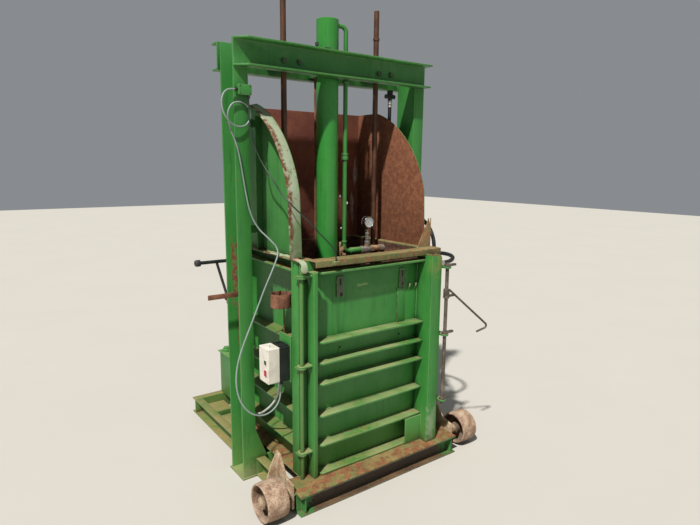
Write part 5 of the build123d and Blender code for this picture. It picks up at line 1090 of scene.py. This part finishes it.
# By body: each piece's node, finish, slot and, where hard use bent it, the axis that it is cut along,
# the distance between cuts and the size of the bends, in metres
STEELWORK = {
    "press_frame": (
        ("post_left", "post_enamel", "green_paint", ("Z", 0.12, 0.0012)),
        ("post_right", "enamel", "green_paint", ("Z", 0.12, 0.0012)),
        ("crossbeam_front", "beam_enamel_painted_shade", "green_paint", ("X", 0.10, 0.0015)),
        ("crossbeam_rear", "beam_enamel_painted_shade", "green_paint", ("X", 0.10, 0.0015)),
        ("foot_bolster", "enamel", "green_paint", None),
        ("base_front_channel", "channel_grime_and_shade", "green_paint", ("X", 0.08, 0.0018)),
        ("base_side_rails", "deck_enamel", "green_paint", ("Y", 0.10, 0.0012)),
        ("rear_deck", "deck_enamel", "green_paint", ("X", 0.10, 0.0015)),
        ("floor_plate", "sill_rust", "rusty_paint", ("X", 0.07, 0.0018)),
        ("box_side_left", "wall_enamel", "green_paint", None),
        ("box_side_right", "wall_enamel", "green_paint", None),
        ("box_rear", "rear_wall_enamel", "green_paint", None),
        ("corner_posts", "enamel", "green_paint", None),
        ("rim_frame", "rim_paint", "rusty_paint", ("X", 0.06, 0.0022)),
        ("hopper_side_left", "hopper_sheet", "rusty_paint", None),
        ("hopper_side_right", "hopper_sheet", "rusty_paint", None),
        ("hopper_back", "sheet_rust", "rusty_steel", None),
        ("hopper_edging", "edging_paint", "olive_edge", None),
        ("hinge_rod", "hinge_enamel", "green_paint", None),
        ("hinge_brackets", "hinge_enamel", "green_paint", None),
        ("lock_brackets", "door_enamel", "green_paint", None),
        ("guide_blocks", "enamel", "green_paint", None),
        ("oil_tank", "enamel", "green_paint", None),
        ("control_valve", "fitting_steel", "fitting_steel", None),
        ("junction_box", "enamel", "green_paint", None),
        ("pin_cup", "old_rust", "rusty_steel", ("Z", 0.02, 0.0016)),
        ("wheel_axles", "lump_rust", "rusty_steel", None),
        ("lever_bracket", "old_rust", "rusty_steel", None),
    ),
    "door": (
        ("door_panel", "panel_enamel", "green_paint", ("X", 0.12, 0.0012)),
        ("door_stile_left", "door_enamel", "green_paint", None),
        ("door_stile_right", "stile_enamel", "green_paint", ("Z", 0.09, 0.0016)),
        ("door_ribs", "rib_enamel", "green_paint", ("X", 0.06, 0.0030)),
        ("door_fittings", "fitting_enamel", "green_paint", None),
    ),
    "platen": (("platen", "old_rust", "rusty_steel", None),),
    "hand_lever": (("hand_lever", "lever_steel", "rusty_steel", None),),
    "lock": (("lock_shaft", "shaft_steel", "rusty_steel", None),),
    "wheel_left": (("wheel_left", "wheel_rust", "wheel_iron", ("X", 0.016, 0.0010)),),
    "wheel_right": (("wheel_right", "wheel_rust", "wheel_iron", ("X", 0.016, 0.0010)),),
}
# Nodes that keep their CAD shape, each with its finish
PLAIN_NODES = {
    "cylinder_barrel": "barrel_enamel", "guide_bolts": "bolt_steel", "cylinder_fittings": "pump_iron",
    "pressure_pipe": "enamel", "manifold_pipe": "flake_rust", "return_pipe": "old_rust",
    "pressure_gauge": "gauge_case", "gauge_pointer": "dial_black", "control_box_base": "box_black",
    "control_box_cover": "box_cream", "start_button": "button_green", "stop_button": "button_red",
    "guide_rods": "rod_steel", "piston_rod": "rod_steel", "electric_motor": "motor_paint",
    "hydraulic_pump": "pump_iron",
}


class WOOLPRESS_OT_steelwork(Operator):
    """Finish the welded steel in its own shape, with eased edges and the bends of hard use."""

    bl_idname = "wool_press.steelwork"
    bl_label = "Welded steelwork"

    def execute(self, context):
        arris = context.scene.wool_press_paint.arris
        for body, pieces in STEELWORK.items():
            for node, material, slot, bend in pieces:
                softened(node, material, bend, arris, body)
        for node, material in PLAIN_NODES.items():
            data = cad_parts[node].data
            data.materials.clear()
            data.materials.append(MATERIALS[material])
        return {"FINISHED"}


# Gauge, in millimetres: a point on its axis, and the Y of each layer

GAUGE_CENTRE = Vector((230, 0, 1330))
DIAL_FLOOR_Y, MARKS_Y, FIGURES_Y = -43.0, -43.7, -43.65
BAND_Y, GLASS_Y, BEZEL_Y = -20, -50.2, -50.4
DIAL_RADIUS, MARK_RADIUS, FIGURE_RADIUS = 29.8, 28, 17.5
GLASS_RADIUS, BEZEL_RADIUS, BAND_RADIUS = 30.2, 31.4, 34.2
DIAL_THICKNESS, GLASS_THICKNESS, BEZEL_ROUND, BAND_WIDTH = 0.6, 1.2, 2.4, 4
FIGURE_HEIGHT, INK_THICKNESS = 7.5, 0.1
# The scale's first angle, its sweep clockwise, its parts, and how many parts apart the long marks are
SCALE_START, SCALE_SWEEP, SCALE_PARTS, LONG_EVERY = 225, 270, 25, 5
# A mark's length and half its width
LONG_MARK, SHORT_MARK = (5.5, 0.7), (3.2, 0.35)
# The stem's nuts and collars, from the tee up: shape, height, width across flats or radius, and length
STEM_X, STEM_Y = 230, -34
STEM_FITTINGS = (
    (hex_nut, 1211, 28, 18), (hex_nut, 1232, 22, 12), (collar, 1245, 14, 7), (hex_nut, 1262, 22, 14),
    (collar, 1282, 12, 12),
)


def scale_direction(mark):
    """The way from the dial's centre out to one mark of its scale."""
    angle = math.radians(SCALE_START - SCALE_SWEEP * mark / SCALE_PARTS)
    return Vector((math.cos(angle), 0, math.sin(angle)))


def on_gauge_axis(y):
    """The point of the gauge's axis at this Y."""
    return GAUGE_CENTRE + Vector((0, y, 0))


class WOOLPRESS_OT_gauge(Operator):
    """Fit the gauge with its printed dial, glass, bezel and the nuts on its stem."""

    bl_idname = "wool_press.gauge"
    bl_label = "Pressure gauge"

    def execute(self, context):
        seat = on_gauge_axis(DIAL_FLOOR_Y - DIAL_THICKNESS / 2)
        dial = collar(seat, ALONG_Y, DIAL_RADIUS, DIAL_THICKNESS, arris=0.15, sides=64)
        settle(dial, "gauge_dial_face", "dial_white")
        ink = []
        for mark in range(SCALE_PARTS + 1):
            outward = scale_direction(mark)
            beside = Vector((-outward.z, 0, outward.x))
            length, half_width = SHORT_MARK if mark % LONG_EVERY else LONG_MARK
            ink.append(drawn_bar([
                (on_gauge_axis(MARKS_Y) + outward * radius, beside * half_width, (0, INK_THICKNESS, 0))
                for radius in (MARK_RADIUS - length, MARK_RADIUS)
            ]))
        for number in range(0, SCALE_PARTS + 1, LONG_EVERY):
            centre = GAUGE_CENTRE + scale_direction(number) * FIGURE_RADIUS
            bpy.ops.object.select_all(action="DESELECT")
            bpy.ops.object.text_add(
                location=Vector((centre.x, FIGURES_Y, centre.z)) * MM,
                rotation=(math.radians(90), 0, 0),
            )
            figure = context.object
            figure.data.body = str(number)
            figure.data.size = FIGURE_HEIGHT * MM
            figure.data.align_x = "CENTER"
            figure.data.align_y = "CENTER"
            figure.data.extrude = INK_THICKNESS * MM
            bpy.ops.object.convert(target="MESH")
            ink.append(context.object)
        settle(joined(ink), "gauge_dial_marks", "dial_black")
        glass = collar(on_gauge_axis(GLASS_Y), ALONG_Y, GLASS_RADIUS, GLASS_THICKNESS, arris=0.4, sides=64)
        settle(glass, "gauge_glass", "glass")
        bpy.ops.object.select_all(action="DESELECT")
        bpy.ops.mesh.primitive_torus_add(
            major_radius=BEZEL_RADIUS * MM, minor_radius=BEZEL_ROUND * MM,
            major_segments=72, minor_segments=12,
            location=on_gauge_axis(BEZEL_Y) * MM, rotation=(math.radians(90), 0, 0),
        )
        bezel = context.object
        band = collar(on_gauge_axis(BAND_Y), ALONG_Y, BAND_RADIUS, BAND_WIDTH, sides=64)
        settle(joined([bezel, band]), "gauge_bezel", "gauge_case")
        stem = [
            shape((STEM_X, STEM_Y, up), UPRIGHT, width, length) for shape, up, width, length in STEM_FITTINGS
        ]
        settle(joined(stem), "gauge_stem_nuts", "fitting_steel")
        return {"FINISHED"}


# Pipe fittings, in millimetres: places along the manifold pipe, the pressure pipe and the valve's ports

MANIFOLD_Y, MANIFOLD_Z = -34, 1170
PRESSURE_PIPE_X, PRESSURE_PIPE_Y = 64, -34


def on_manifold(across):
    """The point of the manifold pipe's line at this X."""
    return across, MANIFOLD_Y, MANIFOLD_Z


def on_pressure_pipe(height):
    """The point of the pressure pipe's line at this height."""
    return PRESSURE_PIPE_X, PRESSURE_PIPE_Y, height


class WOOLPRESS_OT_pipe_fittings(Operator):
    """Fit nuts, couplings and flaked rust along the pipes and the valve's ports."""

    bl_idname = "wool_press.pipe_fittings"
    bl_label = "Pipe fittings"

    def execute(self, context):
        bend = collar(on_manifold(140), ALONG_X, 17.6, 76, arris=2)
        settle(bend, "manifold_painted_bend", "enamel")
        bright = [
            hex_nut(on_manifold(188), ALONG_X, 38, 18), collar(on_manifold(201), ALONG_X, 18.5, 8),
            hex_nut(on_manifold(213), ALONG_X, 38, 12), collar(on_manifold(230), ALONG_X, 20.5, 20),
            hex_nut(on_manifold(249), ALONG_X, 38, 14), hex_nut(on_manifold(334), ALONG_X, 37, 12),
            collar(on_manifold(352), ALONG_X, 18.0, 24),
        ]
        settle(joined(bright), "manifold_nuts", "fitting_steel")
        rusty = [
            hex_nut(on_manifold(266), ALONG_X, 38, 12), collar(on_manifold(296), ALONG_X, 18.4, 44, arris=3),
            collar(on_manifold(321), ALONG_X, 20.5, 8, arris=2),
        ]
        settle(joined(rusty), "manifold_coupling", "flake_rust")
        unions = [
            hex_nut(on_pressure_pipe(1692), UPRIGHT, 36, 14),
            hex_nut(on_pressure_pipe(1716), UPRIGHT, 34, 12),
            collar(on_pressure_pipe(1703), UPRIGHT, 18, 8),
            hex_nut(on_pressure_pipe(2098), UPRIGHT, 34, 10),
            collar(on_pressure_pipe(1226), UPRIGHT, 15.5, 12, arris=3),
        ]
        settle(joined(unions), "pressure_pipe_unions", "enamel")
        ports = [
            hex_nut((538, -332, 1099), ALONG_X, 40, 18), collar((551, -332, 1099), ALONG_X, 17, 8),
            hex_nut((486, -332, 1168), UPRIGHT, 36, 14), hex_nut((472, -332, 1052), UPRIGHT, 36, 30),
            collar((472, -372, 1084), ALONG_Y, 15, 16), hex_nut((472, -384, 1084), ALONG_Y, 24, 10),
        ]
        settle(joined(ports), "valve_port_nuts", "fitting_steel")
        return {"FINISHED"}


# Electrical boxes, in millimetres

# Each button's height, and the width and height inside its surround
BUTTONS = ((700, 18, 18), (645, 20, 28))
BUTTON_Y = -252
COVER_FACE_X, SURROUND_FRONT_X = -559.6, -562.6
SURROUND_GAP, SURROUND_HALF_WIDTH, SURROUND_OVERLAP = 2.3, 1.3, 3.6
# The clip frame on the box's top and the black seam round its sides, by their low and high corners
CLIP_BARS = (
    ((-492, -274, 771.5), (-448, -269, 777)), ((-492, -212, 771.5), (-448, -207, 777)),
    ((-492, -274, 771.5), (-487, -207, 777)), ((-453, -274, 771.5), (-448, -207, 777)),
    ((-474, -250, 771.5), (-464, -232, 775)),
)
SEAM_BARS = (
    ((-499.2, -281, 592), (-496.8, -280, 772)), ((-499.2, -183, 592), (-496.8, -182, 772)),
)


class WOOLPRESS_OT_box_trims(Operator):
    """Fit the button surrounds, clip frame, screws and cable glands of the two electrical boxes."""

    bl_idname = "wool_press.box_trims"
    bl_label = "Electrical boxes"

    def execute(self, context):
        bars = []
        for height, wide, tall in BUTTONS:
            for side in (-1, 1):
                across = BUTTON_Y + side * (wide / 2 + SURROUND_GAP)
                half_tall = tall / 2 + SURROUND_OVERLAP
                bars.append(add_block(
                    (SURROUND_FRONT_X, across - SURROUND_HALF_WIDTH, height - half_tall),
                    (COVER_FACE_X, across + SURROUND_HALF_WIDTH, height + half_tall),
                ))
                up = height + side * (tall / 2 + SURROUND_GAP)
                half_wide = wide / 2 + SURROUND_OVERLAP - 0.1
                bars.append(add_block(
                    (SURROUND_FRONT_X + 0.1, BUTTON_Y - half_wide, up - SURROUND_HALF_WIDTH),
                    (COVER_FACE_X, BUTTON_Y + half_wide, up + SURROUND_HALF_WIDTH),
                ))
        surrounds = joined(bars)
        ease_edges(surrounds, 0.5 * MM)
        settle(surrounds, "button_surrounds", "box_cream")
        cover_screws = [
            socket_screw((-560, across, height), (-1, 0, 0), 3.4, 1.6)
            for across in (-272, -191) for height in (602, 762)
        ]
        settle(joined(cover_screws), "cover_screws", "fitting_steel")
        for name, corners, arris in (
            ("control_box_clip", CLIP_BARS, 0.9), ("control_box_seam", SEAM_BARS, 0.3),
        ):
            trim = joined([add_block(low, high) for low, high in corners])
            ease_edges(trim, arris * MM)
            settle(trim, name, "box_black")
        glands = [
            hex_nut((-476, -251.5, 587), UPRIGHT, 22, 9), hex_nut((-466, -213.5, 587), UPRIGHT, 24, 9),
            collar((-476, -251.5, 577), UPRIGHT, 9, 11), collar((-466, -213.5, 577), UPRIGHT, 10.5, 11),
        ]
        settle(joined(glands), "control_box_glands", "box_black")
        lid_screws = [
            socket_screw((across, -105, height), (0, -1, 0), 3.0, 2.0)
            for across in (-590, -538) for height in (1982, 2017)
        ]
        settle(joined(lid_screws), "junction_box_screws", "bolt_steel")
        hubs = [collar((-545, -97, 1968), UPRIGHT, 8, 12), collar((-604, -90, 1999.5), ALONG_X, 8, 14)]
        settle(joined(hubs), "junction_box_glands", "box_black")
        return {"FINISHED"}


# Hinge strap, in millimetres

# The strap's stations from the rim to the pad's tip: centre, half its width and half its thickness
STRAP_STATIONS = (
    ((-421, -207, 1214), (14, 2, 0), (0, 0, 3.9)), ((-427, -262, 1214.4), (12, 2.2, 0), (0, 0.2, 3.6)),
    ((-436, -320, 1214), (12.5, 2.4, 0), (0, 0, 3.9)), ((-442, -368, 1214), (13, 1.2, 0), (0, 0, 3.9)),
    ((-444, -402, 1212.8), (14, 0, 0), (0, -0.9, 3.8)), ((-443.5, -419, 1207), (15, 0, 0), (0, -2.6, 2.9)),
    ((-443, -428, 1196), (15.5, 0, 0), (0, -3.8, 0.8)), ((-443, -429, 1180), (18, 0, 0), (0, -3.9, 0)),
    ((-443, -429, 1170), (16.5, 0, 0), (0, -3.9, 0)), ((-443, -429, 1163), (11, 0, 0), (0, -3.7, 0)),
    ((-443, -429, 1160.3), (4, 0, 0), (0, -3.2, 0)),
)
SIDE_PLATE_OUTLINE = (
    (-438, -205), (-412, -205), (-408, -150), (-410, -62), (-430, -58), (-438, -84), (-446, -96),
    (-444, -150),
)
SIDE_PLATE_LOW, SIDE_PLATE_HIGH = 1210, 1214.5
WIRE_RADIUS = 1.6
# The two bent wires that stand in the pin cup
WIRE_HOOKS = (
    ((-466, -160, 958), (-466, -159, 1000), (-465, -156, 1032), (-458, -150, 1050), (-448, -150, 1054),
     (-443, -156, 1046)),
    ((-431, -245, 958), (-432, -246, 1004), (-435, -247, 1040), (-439, -240, 1062), (-443, -230, 1066),
     (-442.5, -222, 1056)),
)


class WOOLPRESS_OT_hinge_strap(Operator):
    """Draw the flat strap over the hinge rod, bent down to a rounded pad, the plate beside it and the
    wires in the cup below."""

    bl_idname = "wool_press.hinge_strap"
    bl_label = "Hinge strap"

    def execute(self, context):
        strap = drawn_bar(STRAP_STATIONS)
        ease_edges(strap, 1.6 * MM, segments=3, angle=40)
        settle(strap, "hinge_strap_bar", "strap_paint", smooth=50)
        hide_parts("hinge_strap")
        plate = cut_plate(SIDE_PLATE_OUTLINE, "Z", SIDE_PLATE_LOW, SIDE_PLATE_HIGH)
        ease_edges(plate, 1.2 * MM)
        settle(plate, "strap_side_plate", "strap_paint")
        wires = joined([run_of(points, WIRE_RADIUS) for points in WIRE_HOOKS])
        settle(wires, "cup_wire_hooks", "wire", smooth=ROUND_SMOOTH_ANGLE)
        return {"FINISHED"}


# Weld beads, in millimetres: each by its start, its end and its radius

DOOR_WELD_Y = -370.5
DOOR_RIB_TOPS = (270, 428, 595, 703, 810)
DOOR_WELDS = (
    ((-370, -370, 118), (-370, -370, 1140), 3.2),
    *(((-366, DOOR_WELD_Y, top + 1), (316, DOOR_WELD_Y, top + 1), 3.0) for top in DOOR_RIB_TOPS),
    ((322, DOOR_WELD_Y, 820), (322, DOOR_WELD_Y, 1138), 3.2),
)
TANK_WELDS = (
    ((-334, 589, 112), (-334, 589, 388), 3.5), ((164, 589, 112), (164, 589, 388), 3.5),
    ((-330, 589, 394), (160, 589, 394), 3.0),
)
HOPPER_FOOT_Z = 1211
# Stitch welds along the hopper's foot: where each starts, and how long each is
SIDE_STITCHES, SIDE_STITCH_LENGTH = range(-290, 240, 130), 62
BACK_STITCHES, BACK_STITCH_LENGTH = range(-360, 330, 120), 58


def post_head_welds(side):
    """The beads where one post meets the two crossbeams, side being -1 on the left and 1 on the right."""
    return [
        bead for across in (-1, 1) for bead in (
            ((side * 534, across * 76, 2112), (side * 534, across * 76, 2228), 4.5),
            ((side * 538, across * 76.5, 2103.5), (side * 607, across * 76.5, 2103.5), 4.5),
        )
    ]


def hopper_side_welds(side):
    """The stitch welds along one side of the hopper's foot."""
    return [
        ((side * 405.5, start, HOPPER_FOOT_Z), (side * 405.5, start + SIDE_STITCH_LENGTH, HOPPER_FOOT_Z), 3.5)
        for start in SIDE_STITCHES
    ]


FRAME_WELDS = (
    *post_head_welds(-1), *hopper_side_welds(-1), *post_head_welds(1), *hopper_side_welds(1),
    *(
        ((start, 295.5, HOPPER_FOOT_Z), (start + BACK_STITCH_LENGTH, 295.5, HOPPER_FOOT_Z), 3.5)
        for start in BACK_STITCHES
    ),
    *TANK_WELDS,
)


class WOOLPRESS_OT_welds(Operator):
    """Run the weld beads that join the door's plates, the frame's corners, the hopper's foot and the tank."""

    bl_idname = "wool_press.welds"
    bl_label = "Weld beads"

    def execute(self, context):
        for name, beads, material, body in (
            ("door_welds", DOOR_WELDS, "door_enamel", "door"),
            ("frame_welds", FRAME_WELDS, "enamel", "press_frame"),
        ):
            runs = joined([weld_run(*bead) for bead in beads])
            settle(runs, name, material, body, smooth=ROUND_SMOOTH_ANGLE)
        return {"FINISHED"}


# Torn sheet and caked rust, in millimetres

TORN_STRIP_FRONT, TORN_STRIP_BACK = 284.5, 289.9
TORN_STRIPS = (
    ((343, 1338), (338, 1420), (346, 1497), (352, 1478), (366, 1436), (360, 1392), (366, 1330), (362, 1266),
     (352, 1300)),
    ((366, 1528), (358, 1590), (361, 1650), (374, 1712), (380, 1660), (392, 1600), (384, 1560)),
    ((300, 1260), (292, 1330), (298, 1372), (306, 1340), (311, 1290)),
)
# Each lump's centre, its radius and how far it is drawn out upwards
RUST_LUMPS = (
    ((44, -34, 1172), 15, 1.9), ((56, -40, 1150), 13, 1.3), ((38, -30, 1206), 10, 2.1),
    ((62, -36, 1138), 12, 1.0), ((50, -44, 1188), 9, 1.5),
)
# Two sizes of roughness on a lump: how fine it is, and its depth
LUMP_ROUGHNESS = ((90, 5), (260, 2))


class WOOLPRESS_OT_torn_sheet(Operator):
    """Hang the torn strips inside the hopper and cake rust on the pressure pipe's foot."""

    bl_idname = "wool_press.torn_sheet"
    bl_label = "Torn sheet and caked rust"

    def execute(self, context):
        torn = joined([cut_plate(outline, "Y", TORN_STRIP_FRONT, TORN_STRIP_BACK) for outline in TORN_STRIPS])
        ease_edges(torn, 0.8 * MM)
        settle(torn, "hopper_torn_strips", "shard_rust")
        lumps = []
        for place, size, stretch in RUST_LUMPS:
            bpy.ops.object.select_all(action="DESELECT")
            bpy.ops.mesh.primitive_ico_sphere_add(
                subdivisions=4, radius=size * MM, location=Vector(place) * MM,
            )
            lump = context.object
            lump.scale = (1, 0.8, stretch)
            bpy.ops.object.transform_apply(location=True, rotation=True, scale=True)
            for vertex in lump.data.vertices:
                coarse, fine = (
                    noise.noise_vector(vertex.co * scale) * depth * MM for scale, depth in LUMP_ROUGHNESS
                )
                vertex.co += coarse + fine
            lumps.append(lump)
        settle(joined(lumps), "pipe_foot_rust", "flake_rust", smooth=ROUND_SMOOTH_ANGLE)
        return {"FINISHED"}


class WOOLPRESS_PT_panel(Panel):
    """Lists the steps that make the press."""

    bl_idname = "WOOLPRESS_PT_panel"
    bl_label = "Wool press"
    bl_space_type = "VIEW_3D"
    bl_region_type = "UI"
    bl_category = "Wool press"

    def draw(self, context):
        for group in SETTINGS:
            box = self.layout.box()
            for name in getattr(context.scene, group).bl_rna.properties.keys():
                if name not in ("rna_type", "name"):
                    box.prop(getattr(context.scene, group), name)
        for step in STEPS:
            self.layout.operator(step.bl_idname)


STEPS = (
    WOOLPRESS_OT_stage, WOOLPRESS_OT_cords, WOOLPRESS_OT_steelwork, WOOLPRESS_OT_gauge,
    WOOLPRESS_OT_pipe_fittings, WOOLPRESS_OT_box_trims, WOOLPRESS_OT_hinge_strap, WOOLPRESS_OT_welds,
    WOOLPRESS_OT_torn_sheet,
)


def register():
    for group in SETTINGS.values():
        bpy.utils.register_class(group)
    for step in STEPS:
        bpy.utils.register_class(step)
    bpy.utils.register_class(WOOLPRESS_PT_panel)
    for name, group in SETTINGS.items():
        setattr(bpy.types.Scene, name, PointerProperty(type=group))


def unregister():
    for name in SETTINGS:
        delattr(bpy.types.Scene, name)
    bpy.utils.unregister_class(WOOLPRESS_PT_panel)
    for step in reversed(STEPS):
        bpy.utils.unregister_class(step)
    for group in SETTINGS.values():
        bpy.utils.unregister_class(group)


def main():
    """Make the whole press, step by step."""
    register()
    MATERIALS.update(make_enamels(bpy.context.scene.wool_press_paint))
    MATERIALS.update(make_bare_steels())
    MATERIALS.update(make_bought_finishes())
    for step in STEPS:
        family, action = step.bl_idname.split(".")
        getattr(getattr(bpy.ops, family), action)()
    bpy.context.view_layer.update()


if __name__ == "__main__":
    main()
